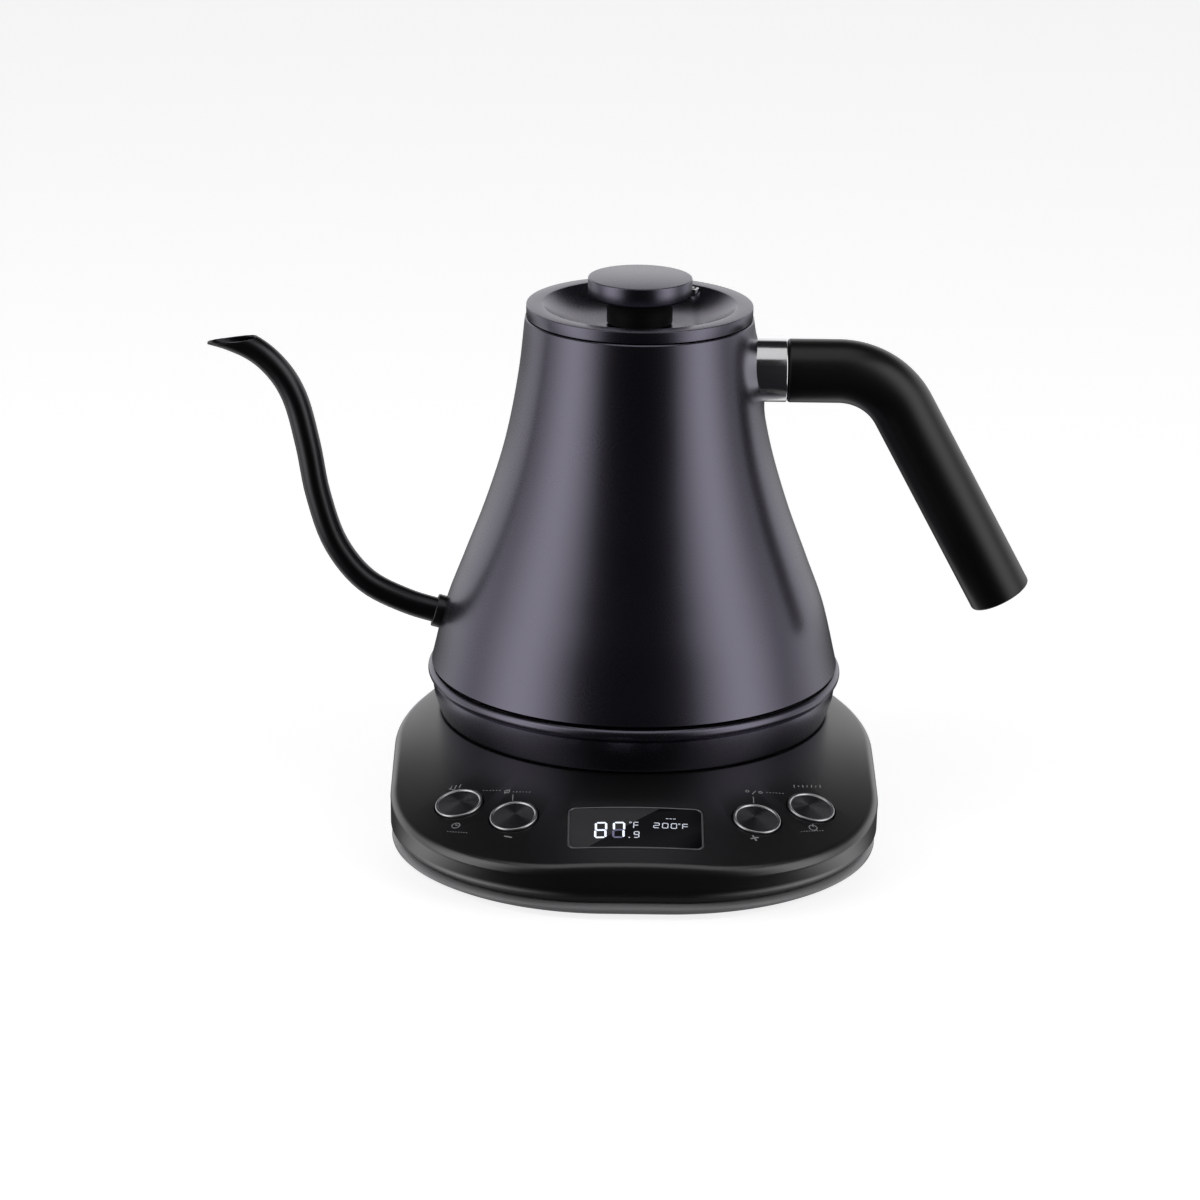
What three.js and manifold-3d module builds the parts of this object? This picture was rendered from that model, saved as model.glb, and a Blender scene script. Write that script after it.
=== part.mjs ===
// A gooseneck electric kettle standing on its power base.
// Millimetres, +Z up. The origin is on the kettle's swivel axis, at the surface that the base stands on.
// +X points to the handle, -X to the spout and -Y to the control panel.
import * as THREE from "three";
import { mergeVertices } from "three/addons/utils/BufferGeometryUtils.js";
import Module from "manifold-3d";

const wasm = await Module();
wasm.setup();

// ---------------------------------------------------------------- driving dimensions

const GAP = 0.3; // between pieces that touch
const WALL = 2.2; // moulded plastic

const BASE = {
  halfWidth: 83.3,
  front: 117.5,
  cornerRadius: 60,
  footCornerRadius: 72, // the plan gets rounder towards the underside
  flankCentre: 22, // the flank arcs turn about this point on the centre line, in front of the axis
  backRadius: 74,
  coneTop: 53.2, // where the conical top would meet the axis
  coneSlope: 0.2896,
  seatRadius: 69,
  underside: 1.8,
  lipEdge: 3.5,
  lipTop: 5,
  crease: 11,
};
const SEAT_Z = BASE.coneTop - BASE.coneSlope * BASE.seatRadius;
const OUTLINE_POINTS = 60;

const BUTTON = { circle: 97.5, radius: 8.1, hole: 8.6, proud: 0.8, azimuths: [-37.5, -24.65, 24.65, 37.5] };
const BUTTON_NAMES = ["hold", "minus", "plus", "start"];
const DISPLAY = { width: 43.8, height: 21, corner: 2, y: -97 };
const BOARD = { bottom: 8.6, top: 10.2 };

const BODY = { bottom: 51, top: 175.2, wall: 0.9, mouth: 35.6 };
// Outer radius of the kettle at a few heights, from the bottom edge to the rim.
const BODY_OUTLINE = [
  [71.2, 51],
  [66.1, 72],
  [60.2, 88],
  [52.4, 109],
  [45.9, 131],
  [41.5, 155],
  [39.4, 175.2],
];
const BEAD = { radius: 72.5, z: 47.9 };
const SKIRT_BOTTOM = 33.8;

const LID = { radius: 39, top: 179.6, rim: 175.5, ring: 33.6, dish: 172.9 };
const KNOB = { radius: 17.9, top: 189.1, thickness: 6.7, post: 11.3 };

const SPOUT = { radius: 4.4, bore: 3.3, tip: 149.6, tipZ: 163.4, sliceSlope: 9.7 };
// Centreline of the gooseneck, in the plane of the handle and the spout: X and Z.
const SPOUT_ROUTE = [
  [-60, 65.2],
  [-68, 67.5],
  [-80, 71.2],
  [-94.2, 78.7],
  [-104.6, 91.8],
  [-110.9, 110.1],
  [-114.3, 128.1],
  [-118.7, 144.9],
  [-123.6, 153.7],
  [-131, 161],
  [-140.4, 165.7],
  [-152.6, 169.1],
];

const HANDLE = { z: 156.6, radius: 11, core: 5.2, collarEnd: 51, corner: 84.5, bend: 26, lean: 28.5, leg: 91.5 };

// ---------------------------------------------------------------- materials

const material = (color, roughness, metalness) => new THREE.MeshStandardMaterial({ color, roughness, metalness });
const bodyPaint = () => material(0x45434e, 0.42, 0.7);
const spoutPaint = () => material(0x17171b, 0.4, 0.5);
const satinPlastic = () => material(0x1b1b1e, 0.48, 0);
const gripPlastic = () => material(0x101012, 0.55, 0);
const glossPlastic = () => material(0x0c0c0e, 0.18, 0);
const innerPlastic = () => material(0x2a2a2d, 0.6, 0);
const chrome = () => material(0xd5d6d8, 0.08, 1);
const stainless = () => material(0xb9bbbe, 0.28, 1);
const spunMetal = () => material(0x4a4b50, 0.25, 1);
const aluminium = () => material(0xa5a8ac, 0.45, 1);
const glass = () => material(0x08080a, 0.06, 0);
const rubber = () => material(0x1d1d1d, 0.85, 0);
const silicone = () => material(0x8d8d90, 0.6, 0);
const boardLaminate = () => material(0x1f5a35, 0.5, 0);
const brass = () => material(0xb08d45, 0.3, 1);

// ---------------------------------------------------------------- solids

const root = new THREE.Group();

// The closed solid of a geometry, with its faces turned outwards.
function solidOf(geometry) {
  const bare = geometry.clone();
  bare.deleteAttribute("normal");
  bare.deleteAttribute("uv");
  const merged = mergeVertices(bare, 1e-4);
  const triVerts = new Uint32Array(merged.index.array);
  const build = () =>
    new wasm.Manifold(
      new wasm.Mesh({ numProp: 3, vertProperties: merged.attributes.position.array, triVerts }),
    );
  const solid = build();
  if (solid.volume() >= 0) return solid;
  for (let i = 0; i < triVerts.length; i += 3) triVerts.subarray(i, i + 3).reverse();
  return build();
}

const join = (...solids) => solids.reduce((a, b) => a.add(b));
const cut = (solid, ...tools) => tools.reduce((a, b) => a.subtract(b), solid);
const common = (a, b) => a.intersect(b);

// Adds a solid to a group as a named mesh.
function part(name, solid, meshMaterial, group = root) {
  const mesh = solid.getMesh();
  const geometry = new THREE.BufferGeometry();
  geometry.setAttribute("position", new THREE.BufferAttribute(mesh.vertProperties, 3));
  geometry.setIndex(new THREE.BufferAttribute(mesh.triVerts, 1));
  geometry.computeVertexNormals();
  const made = new THREE.Mesh(geometry, meshMaterial);
  made.name = name;
  group.add(made);
}

// A profile of [radius, height] points turned about Z. It starts and ends on the axis, or closes on itself.
function turnedGeometry(profile, segments = 40) {
  const points = profile.map(([r, z]) => new THREE.Vector2(r, z));
  return new THREE.LatheGeometry(points, segments).rotateX(Math.PI / 2);
}
const turned = (profile, segments) => solidOf(turnedGeometry(profile, segments));
const ring = (inner, outer, z0, z1, segments) =>
  turned([[inner, z0], [outer, z0], [outer, z1], [inner, z1], [inner, z0]], segments);

function discGeometry(radius, z0, z1, x = 0, y = 0, segments = 16) {
  const geometry = new THREE.CylinderGeometry(radius, radius, z1 - z0, segments);
  return geometry.rotateX(Math.PI / 2).translate(x, y, (z0 + z1) / 2);
}
const disc = (...sizes) => solidOf(discGeometry(...sizes));

function blockGeometry(x0, x1, y0, y1, z0, z1) {
  const geometry = new THREE.BoxGeometry(x1 - x0, y1 - y0, z1 - z0);
  return geometry.translate((x0 + x1) / 2, (y0 + y1) / 2, (z0 + z1) / 2);
}
const block = (...sizes) => solidOf(blockGeometry(...sizes));

// A closed skin over rings of points that all have the same number of points.
function loft(rings) {
  const count = rings[0].length;
  const points = rings.flat();
  const faces = [];
  for (let level = 0; level + 1 < rings.length; level++) {
    for (let i = 0; i < count; i++) {
      const a = level * count + i;
      const b = level * count + ((i + 1) % count);
      faces.push(a, b, b + count, a, b + count, a + count);
    }
  }
  for (const [level, turn] of [[0, -1], [rings.length - 1, 1]]) {
    const centre = points.length;
    const sum = rings[level].reduce((s, p) => s.add(p), new THREE.Vector3());
    points.push(sum.divideScalar(count));
    for (let i = 0; i < count; i++) {
      const a = level * count + i;
      const b = level * count + ((i + 1) % count);
      faces.push(centre, turn > 0 ? a : b, turn > 0 ? b : a);
    }
  }
  return solidOf(new THREE.BufferGeometry().setFromPoints(points).setIndex(faces));
}

// A round bar along a curve.
function bar(route, radius, steps, sides) {
  const section = new THREE.Shape().absarc(0, 0, radius, 0, 2 * Math.PI, false);
  const settings = { steps, curveSegments: sides / 2, bevelEnabled: false, extrudePath: route };
  return solidOf(new THREE.ExtrudeGeometry(section, settings));
}

// ---------------------------------------------------------------- power base

const coneHeight = (radius) => BASE.coneTop - BASE.coneSlope * radius;

// Plan of the base: flat front, big front corners, straight sides, and a back that follows the kettle.
function basePlan(cornerRadius, inset) {
  const side = BASE.halfWidth - inset;
  const corner = cornerRadius - inset;
  const front = BASE.front - inset;
  const back = BASE.backRadius - inset;
  const turn = Math.asin((side - back) / BASE.flankCentre);
  const plan = new THREE.Shape();
  plan.moveTo(0, -front);
  plan.absarc(side - corner, corner - front, corner, -Math.PI / 2, 0, false);
  plan.absarc(0, -BASE.flankCentre, side, 0, turn, false);
  plan.absarc(0, 0, back, turn, Math.PI - turn, false);
  plan.absarc(0, -BASE.flankCentre, side, Math.PI - turn, Math.PI, false);
  plan.absarc(corner - side, corner - front, corner, Math.PI, 1.5 * Math.PI, false);
  plan.closePath();
  return plan.getSpacedPoints(OUTLINE_POINTS).slice(0, OUTLINE_POINTS);
}

// One level of the base: the plan at a height, or at a distance below the conical top.
const level = (cornerRadius, inset, z) =>
  basePlan(cornerRadius, inset).map((p) => new THREE.Vector3(p.x, p.y, z));
const coneLevel = (cornerRadius, inset, drop) =>
  basePlan(cornerRadius, inset).map((p) => new THREE.Vector3(p.x, p.y, coneHeight(p.length()) - drop));
const circleLevel = (radius, z) =>
  basePlan(BASE.cornerRadius, 0).map((p) => {
    const q = p.clone().setLength(radius);
    return new THREE.Vector3(q.x, q.y, z);
  });

const shellBlank = loft([
  level(70, 2.6, BASE.lipTop + GAP),
  level(63, 0, BASE.crease),
  coneLevel(BASE.cornerRadius, 0, 3.2),
  coneLevel(BASE.cornerRadius, 0.9, 1),
  coneLevel(BASE.cornerRadius, 3, 0),
  circleLevel(BASE.seatRadius + 0.6, coneHeight(BASE.seatRadius + 0.6)),
  circleLevel(BASE.seatRadius, SEAT_Z),
]);
const shellHollow = loft([
  level(70, 2.6 + WALL, 0),
  level(70, 2.6 + WALL, BASE.lipTop + GAP),
  level(63, WALL, BASE.crease),
  coneLevel(BASE.cornerRadius, WALL, 3.2 + WALL),
  coneLevel(BASE.cornerRadius, 3 + WALL, WALL),
  circleLevel(BASE.seatRadius - 1, SEAT_Z - WALL),
]);

// A place on the conical top: local Z is the surface's outward normal, local X runs to the right.
function conePlace(radius, azimuthDegrees) {
  const place = new THREE.Group();
  const azimuth = THREE.MathUtils.degToRad(azimuthDegrees);
  place.position.set(radius * Math.sin(azimuth), -radius * Math.cos(azimuth), coneHeight(radius));
  place.rotation.set(Math.atan(BASE.coneSlope), 0, azimuth, "ZYX");
  place.updateMatrix();
  return place;
}
const inPlace = (geometry, place) => solidOf(geometry.clone().applyMatrix4(place.matrix));

function roundedPlate(width, height, corner, z0, z1) {
  const x = width / 2 - corner;
  const y = height / 2 - corner;
  const plan = new THREE.Shape();
  plan.absarc(x, y, corner, 0, Math.PI / 2, false);
  plan.absarc(-x, y, corner, Math.PI / 2, Math.PI, false);
  plan.absarc(-x, -y, corner, Math.PI, 1.5 * Math.PI, false);
  plan.absarc(x, -y, corner, 1.5 * Math.PI, 2 * Math.PI, false);
  const settings = { depth: z1 - z0, curveSegments: 2, bevelEnabled: false };
  return new THREE.ExtrudeGeometry(plan, settings).translate(0, 0, z0);
}

const displayPlace = conePlace(-DISPLAY.y, 0);
// The display window cut to a depth range under the conical top, grown by a margin.
function displayLayer(margin, above, below) {
  const prism = roundedPlate(
    DISPLAY.width + 2 * margin,
    DISPLAY.height + 2 * margin,
    DISPLAY.corner + margin,
    -9,
    6,
  );
  const near = 76;
  const far = 118;
  const slab = [
    [near, coneHeight(near) - below],
    [far, coneHeight(far) - below],
    [far, coneHeight(far) - above],
    [near, coneHeight(near) - above],
    [near, coneHeight(near) - below],
  ];
  return common(inPlace(prism, displayPlace), turned(slab, 60));
}

const buttonPlaces = BUTTON.azimuths.map((azimuth) => conePlace(BUTTON.circle, azimuth));
const buttonHoles = buttonPlaces.map((place) => inPlace(discGeometry(BUTTON.hole, -8, 4, 0, 0, 24), place));

const CASE_SCREWS = [[-72, -35], [72, -35], [-60, 22], [60, 22]];
const FEET = [[-58, -76], [58, -76], [-44, 46], [44, 46]];
const CORNER_NAMES = ["front_left", "front_right", "back_left", "back_right"];
const SOCKET = { barrel: 20, hole: 20.6, flange: 25, top: 41.5 };
const GLAND = { z: 17, hole: 5.5, body: 5.2, flange: 6.6, bore: 3.4 };

const alongY = (geometry) => geometry.rotateX(-Math.PI / 2).translate(0, 0, GLAND.z);

function addBaseShell() {
  const bosses = CASE_SCREWS.map(([x, y]) => common(disc(4, 7.3, 40, x, y, 12), shellBlank));
  const pilots = CASE_SCREWS.map(([x, y]) => disc(1.8, 6, 18, x, y, 10));
  const glandHole = solidOf(alongY(discGeometry(GLAND.hole, 60, 80, 0, 0, 20)));
  const shell = cut(
    join(cut(shellBlank, shellHollow), ...bosses),
    ...pilots,
    ...buttonHoles,
    glandHole,
    disc(SOCKET.hole, 20, 40, 0, 0, 28),
    displayLayer(1.2, -4, 6),
  );
  part("base_top_shell", shell, satinPlastic());
}

function addBottomCover() {
  const tray = loft([
    level(74, 1.4, BASE.underside),
    level(BASE.footCornerRadius, 0.3, BASE.underside + 0.5),
    level(BASE.footCornerRadius, 0, BASE.lipEdge),
    level(BASE.footCornerRadius, 2.4, BASE.lipTop),
  ]);
  const floor = 3.6;
  const pocket = loft([level(72, 5.2, floor), level(72, 5.2, BASE.lipTop + 3)]);
  const restPad = disc(15, 1.5, 3, 0, 0, 32);
  const pillars = CASE_SCREWS.map(([x, y]) => disc(5, 3, 7, x, y, 14));
  const boardPosts = [[-55, -80], [55, -80], [-36, 32], [36, 32]].map(([x, y]) => disc(2.5, 3, 8.3, x, y, 8));
  const headSinks = CASE_SCREWS.map(([x, y]) => disc(3.2, 1, 4, x, y, 14));
  const shankHoles = CASE_SCREWS.map(([x, y]) => disc(1.8, 1, 8, x, y, 10));
  const footSinks = FEET.map(([x, y]) => disc(7.4, 1, 2.4, x, y, 18));
  const cover = cut(
    join(cut(tray, pocket), restPad, ...pillars, ...boardPosts),
    ...headSinks,
    ...shankHoles,
    ...footSinks,
  );
  part("base_bottom_cover", cover, glossPlastic());
}

function addFeetAndScrews() {
  FEET.forEach(([x, y], i) => {
    const profile = [[0, 0], [6.6, 0], [7, 0.4], [7, 2.1], [0, 2.1]];
    const foot = solidOf(turnedGeometry(profile, 18).translate(x, y, 0));
    part("foot_" + CORNER_NAMES[i], foot, rubber());
  });
  CASE_SCREWS.forEach(([x, y], i) => {
    const profile = [[0, 2.2], [2.4, 2.2], [2.8, 2.6], [2.8, 3.7], [1.4, 3.7], [1.4, 16], [0, 16.8]];
    const screw = solidOf(turnedGeometry(profile, 10).translate(x, y, 0));
    part("base_screw_" + CORNER_NAMES[i], screw, stainless());
  });
}

// The round socket that the kettle drops onto: a centre hole, and a ring slot for the outer contact.
function addSocket() {
  const { barrel, flange, top } = SOCKET;
  const profile = [
    [0, 15], [barrel - 3, 15], [barrel - 3, 24], [flange, 24], [flange, SEAT_Z - WALL - GAP],
    [barrel, SEAT_Z - WALL - GAP], [barrel, top - 1], [barrel - 1, top], [11, top], [11, 31], [8, 31],
    [8, top], [3.4, top], [2.7, top - 0.8], [2.7, 30], [0, 30],
  ];
  part("base_socket", turned(profile, 28), glossPlastic());
}

function addGland() {
  const { body, flange, bore } = GLAND;
  const inside = BASE.backRadius - WALL;
  const outside = BASE.backRadius;
  const profile = [
    [bore, 64], [flange, 64], [flange, inside - 0.8], [body, inside - 0.8], [body, outside + GAP],
    [flange, outside + GAP], [flange, outside + 1], [body, outside + 1.5], [bore, outside + 1.5], [bore, 64],
  ];
  part("cord_gland", solidOf(alongY(turnedGeometry(profile, 20))), rubber());
}

function addDisplay() {
  part("display_window", displayLayer(0, 0.2, 1.6), glass());
  const outer = displayLayer(0.9, 0, 1.6);
  const inner = displayLayer(0.25, -1, 3);
  part("display_bezel", cut(outer, inner), chrome());
  const moduleBlock = inPlace(blockGeometry(-24, 24, -12, 12, -7.5, -3.4), displayPlace);
  const legs = [-20, 20].map((x) => block(x - 1.5, x + 1.5, -103, -90, BOARD.top + GAP, 18));
  const trimmed = common(join(moduleBlock, ...legs), block(-30, 30, -115, -80, BOARD.top + GAP, 40));
  part("display_module", trimmed, innerPlastic());
}

function addControlBoard() {
  const corners = [[-66, -66], [-66, -88], [-50, -102], [50, -102], [66, -88], [66, -66]];
  const plan = new THREE.Shape(corners.map(([x, y]) => new THREE.Vector2(x, y)));
  const settings = { depth: BOARD.top - BOARD.bottom, bevelEnabled: false };
  const board = solidOf(new THREE.ExtrudeGeometry(plan, settings).translate(0, 0, BOARD.bottom));
  part("control_board", board, boardLaminate());
  const beeper = turned([[0, 10.5], [6, 10.5], [6, 16], [5.5, 16.5], [1.2, 16.5], [1.2, 15], [0, 15]], 16);
  const buzzer = new THREE.Group();
  buzzer.position.set(0, -74, 0);
  part("buzzer", beeper, glossPlastic(), buzzer);
  root.add(buzzer);
}

function addPowerBoard() {
  part("power_board", block(-42, 42, 27, 50, BOARD.bottom, BOARD.top), boardLaminate());
  const z = BOARD.top + GAP;
  part("relay", block(-38, -19, 30, 45, z, z + 15), glossPlastic());
  const core = block(-11, 13, 30, 47, z, z + 15);
  const windingWindow = join(block(-8, -5, 20, 60, z + 4, z + 11), block(7, 10, 20, 60, z + 4, z + 11));
  part("transformer", cut(core, windingWindow), aluminium());
  const can = [[0, z], [5, z], [5, z + 13.5], [4.4, z + 14], [0, z + 14]];
  part("capacitor", solidOf(turnedGeometry(can, 16).translate(26, 38, 0)), stainless());
}

// Each button slides square to the panel, on the plunger of a switch that stands on the control board.
function addButtons() {
  const boardTop = block(-90, 90, -120, -50, 0, BOARD.top + GAP);
  const cap = [
    [0, -8.2], [1.6, -8.2], [1.6, -5.2], [9.6, -5.2], [9.6, -4], [BUTTON.radius, -4],
    [BUTTON.radius, BUTTON.proud - 0.5], [BUTTON.radius - 0.8, BUTTON.proud],
    [BUTTON.radius - 1.3, BUTTON.proud - 0.3], [0, BUTTON.proud - 0.3],
  ];
  const plunger = [[0, -12], [1.4, -12], [1.4, -8.5], [0, -8.5]];
  BUTTON_NAMES.forEach((name, i) => {
    const place = buttonPlaces[i];
    part("button_" + name, turned(cap, 24), spunMetal(), place);
    part("plunger_" + name, turned(plunger, 10), innerPlastic(), place);
    root.add(place);
    const housing = inPlace(discGeometry(3.6, -18, -10, 0, 0, 12), place);
    const well = inPlace(discGeometry(1.8, -13.1, -9, 0, 0, 10), place);
    part("switch_" + name, cut(housing, well, boardTop), glossPlastic());
  });
}

// ---------------------------------------------------------------- kettle

const outline = new THREE.SplineCurve(BODY_OUTLINE.map(([r, z]) => new THREE.Vector2(r, z)));

// The kettle's outer profile, moved outwards by an offset.
const bodyProfile = (offset, points = 10) => outline.getPoints(points).map((p) => [p.x + offset, p.y]);

// Everything inside the kettle's outer surface, used to trim what meets it.
const envelope = (offset) => {
  const profile = bodyProfile(offset);
  return turned([[0, BODY.bottom], ...profile, [0, BODY.top]]);
};
const clearOfBody = envelope(GAP);

const inPlane = ([x, z]) => new THREE.Vector3(x, 0, z);
const spoutRoute = new THREE.CatmullRomCurve3(SPOUT_ROUTE.map(inPlane), false, "centripetal");

function addKettleBody() {
  const outside = bodyProfile(0);
  const inside = bodyProfile(-BODY.wall).reverse();
  inside[0] = [inside[0][0], BODY.top - BODY.wall];
  const lip = [[BODY.mouth, BODY.top], [BODY.mouth, BODY.top - BODY.wall]];
  const wall = turned([...outside, ...lip, ...inside, outside[0]]);
  const spoutHole = bar(new THREE.LineCurve3(inPlane([-60, 65.2]), inPlane([-75, 69.5])), SPOUT.bore, 1, 12);
  const studHole = solidOf(discGeometry(2.2, 30, 50, 0, 0, 12).rotateY(Math.PI / 2).translate(0, 0, HANDLE.z));
  part("kettle_body", cut(wall, spoutHole, studHole), bodyPaint());
}

function addSpout() {
  const outer = bar(spoutRoute, SPOUT.radius, 30, 12);
  const bore = bar(spoutRoute, SPOUT.bore, 30, 8);
  // The tip is sliced almost level, so that it ends in a beak.
  const slice = blockGeometry(-20, 24, -10, 10, 0, 20);
  slice.rotateY(THREE.MathUtils.degToRad(-SPOUT.sliceSlope)).translate(-SPOUT.tip, 0, SPOUT.tipZ);
  part("spout", cut(outer, bore, clearOfBody, solidOf(slice)), spoutPaint());
  const flange = bar(new THREE.LineCurve3(inPlane([-62, 65.8]), inPlane([-70.2, 68.1])), 5.8, 1, 16);
  const passage = bar(new THREE.LineCurve3(inPlane([-60, 65.2]), inPlane([-75, 69.7])), SPOUT.radius + 0.45, 1, 16);
  part("spout_collar", cut(flange, passage, clearOfBody), spoutPaint());
}

// The handle's centreline: out from the kettle, round one bend, and down the leg.
function handleRoute(startX, leg) {
  const lean = THREE.MathUtils.degToRad(HANDLE.lean);
  const bendAngle = Math.PI / 2 - lean;
  const reach = HANDLE.bend * Math.tan(bendAngle / 2);
  const centre = [HANDLE.corner - reach, HANDLE.z - HANDLE.bend];
  const alongLeg = (s) => inPlane([HANDLE.corner + s * Math.sin(lean), HANDLE.z - s * Math.cos(lean)]);
  const points = [inPlane([startX, HANDLE.z]), inPlane([(startX + centre[0]) / 2, HANDLE.z])];
  const steps = 6;
  for (let i = 0; i <= steps; i++) {
    const angle = Math.PI / 2 - (bendAngle * i) / steps;
    points.push(inPlane([centre[0] + HANDLE.bend * Math.cos(angle), centre[1] + HANDLE.bend * Math.sin(angle)]));
  }
  points.push(alongLeg((reach + leg) / 2), alongLeg(leg));
  return new THREE.CatmullRomCurve3(points, false, "centripetal");
}

function addHandle() {
  const legDirection = THREE.MathUtils.degToRad(HANDLE.lean);
  const onLeg = (geometry, s) =>
    solidOf(
      geometry
        .rotateY(Math.PI - legDirection)
        .translate(HANDLE.corner + s * Math.sin(legDirection), 0, HANDLE.z - s * Math.cos(legDirection)),
    );
  const collarBlank = discGeometry(HANDLE.radius - 0.1, 30, HANDLE.collarEnd, 0, 0, 28);
  const collarBore = discGeometry(HANDLE.core + GAP, 20, 60, 0, 0, 16);
  const onAxis = (geometry) => solidOf(geometry.rotateY(Math.PI / 2).translate(0, 0, HANDLE.z));
  part("handle_collar", cut(onAxis(collarBlank), onAxis(collarBore), clearOfBody), chrome());

  const core = bar(handleRoute(36, HANDLE.leg - 8), HANDLE.core, 16, 8);
  const coreTap = onLeg(discGeometry(1.9, -12, 1, 0, 0, 10), HANDLE.leg - 8);
  part("handle_core", cut(core, coreTap, clearOfBody), stainless());

  const grip = bar(handleRoute(HANDLE.collarEnd + GAP, HANDLE.leg), HANDLE.radius, 18, 18);
  const gripBore = bar(handleRoute(HANDLE.collarEnd - 3, HANDLE.leg + 2), HANDLE.core + 0.9, 16, 8);
  const capSeat = onLeg(discGeometry(8.8, -3, 2, 0, 0, 20), HANDLE.leg);
  part("handle_grip", cut(grip, gripBore, capSeat), gripPlastic());

  const cap = [[2.3, -2.7], [8.4, -2.7], [8.4, -0.2], [4.2, -0.2], [4.2, -1.6], [2.3, -1.6], [2.3, -2.7]];
  part("handle_end_cap", onLeg(turnedGeometry(cap, 20), HANDLE.leg), satinPlastic());
  const screw = [[0, -17], [1.6, -16.4], [1.6, -1.3], [3.6, -1.3], [3.6, -0.6], [3, -0.3], [0, -0.3]];
  part("handle_end_screw", onLeg(turnedGeometry(screw, 12), HANDLE.leg), stainless());
}

const FOOT_SCREW_CIRCLE = 61;
const footScrewPlaces = [90, 210, 330].map((degrees) => {
  const angle = THREE.MathUtils.degToRad(degrees);
  return [FOOT_SCREW_CIRCLE * Math.cos(angle), FOOT_SCREW_CIRCLE * Math.sin(angle)];
});

function addSkirt() {
  const { radius, z } = BEAD;
  const profile = [
    [66, SKIRT_BOTTOM], [68.2, SKIRT_BOTTOM], [70.3, 40], [71.2, z - 2.5], [70.6, z - 2.1], [71.9, z - 1.7],
    [radius, z], [71.9, z + 1.5], [70.8, z + 2], [68.2, z + 2], [68.2, 40], [66, 37], [66, SKIRT_BOTTOM],
  ];
  const bosses = footScrewPlaces.map(([x, y]) => disc(4.2, 36.6, 46, x, y, 10));
  const webs = footScrewPlaces.map(([x, y]) => disc(2.4, 38, 45, x * 1.09, y * 1.09, 8));
  const pilots = footScrewPlaces.map(([x, y]) => disc(1.7, 36, 44.5, x, y, 8));
  part("skirt_ring", cut(join(turned(profile, 48), ...webs, ...bosses), ...pilots), glossPlastic());
}

function addHeater() {
  part("heating_plate", turned([[0, 50.4], [69.4, 50.4], [69.4, 51.6], [0, 51.8]]), stainless());
  const coil = new THREE.TorusGeometry(46, 3.6, 8, 28).translate(0, 0, 46.4);
  part("heating_element", solidOf(coil), aluminium());
  const probe = turnedGeometry([[0, 43], [3, 43], [3, 48.6], [2.4, 50], [0, 50]], 12).translate(0, 32, 0);
  part("temperature_probe", solidOf(probe), brass());
  for (const [name, x] of [["left", -30], ["right", 30]]) {
    const profile = [[0, 43.6], [3, 43.6], [3, 45], [6.5, 45], [6.5, 50], [0, 50]];
    const button = turnedGeometry(profile, 16).translate(x, -8, 0);
    part("thermal_cutout_" + name, solidOf(button), innerPlastic());
  }
}

// The kettle's half of the coupler: a cup that fits over the base's socket, with a pin and a ring inside.
function addCoupler() {
  const profile = [
    [0, 34], [2.1, 34.6], [2.1, 42.3], [9, 42.3], [9, 33.4], [10, 33.4], [10, 42.3], [21, 42.3],
    [21, 34.2], [24, 34.2], [24, 43.4], [22, 45.4], [0, 45.4],
  ];
  part("kettle_coupler", turned(profile, 28), innerPlastic());
}

function addKettleBottom() {
  const plate = ring(24.4, 65.6, 34.2, 36.2, 40);
  const sinks = footScrewPlaces.map(([x, y]) => disc(3.2, 33, 35.4, x, y, 12));
  const holes = footScrewPlaces.map(([x, y]) => disc(1.8, 33, 38, x, y, 8));
  part("kettle_bottom_cover", cut(plate, ...sinks, ...holes), innerPlastic());
  footScrewPlaces.forEach(([x, y], i) => {
    const profile = [[0, 34.3], [2.4, 34.3], [2.8, 34.7], [2.8, 35.1], [1.3, 35.1], [1.3, 43], [0, 43.6]];
    part("kettle_screw_" + (i + 1), solidOf(turnedGeometry(profile, 10).translate(x, y, 0)), stainless());
  });
}

// ---------------------------------------------------------------- lid

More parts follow.
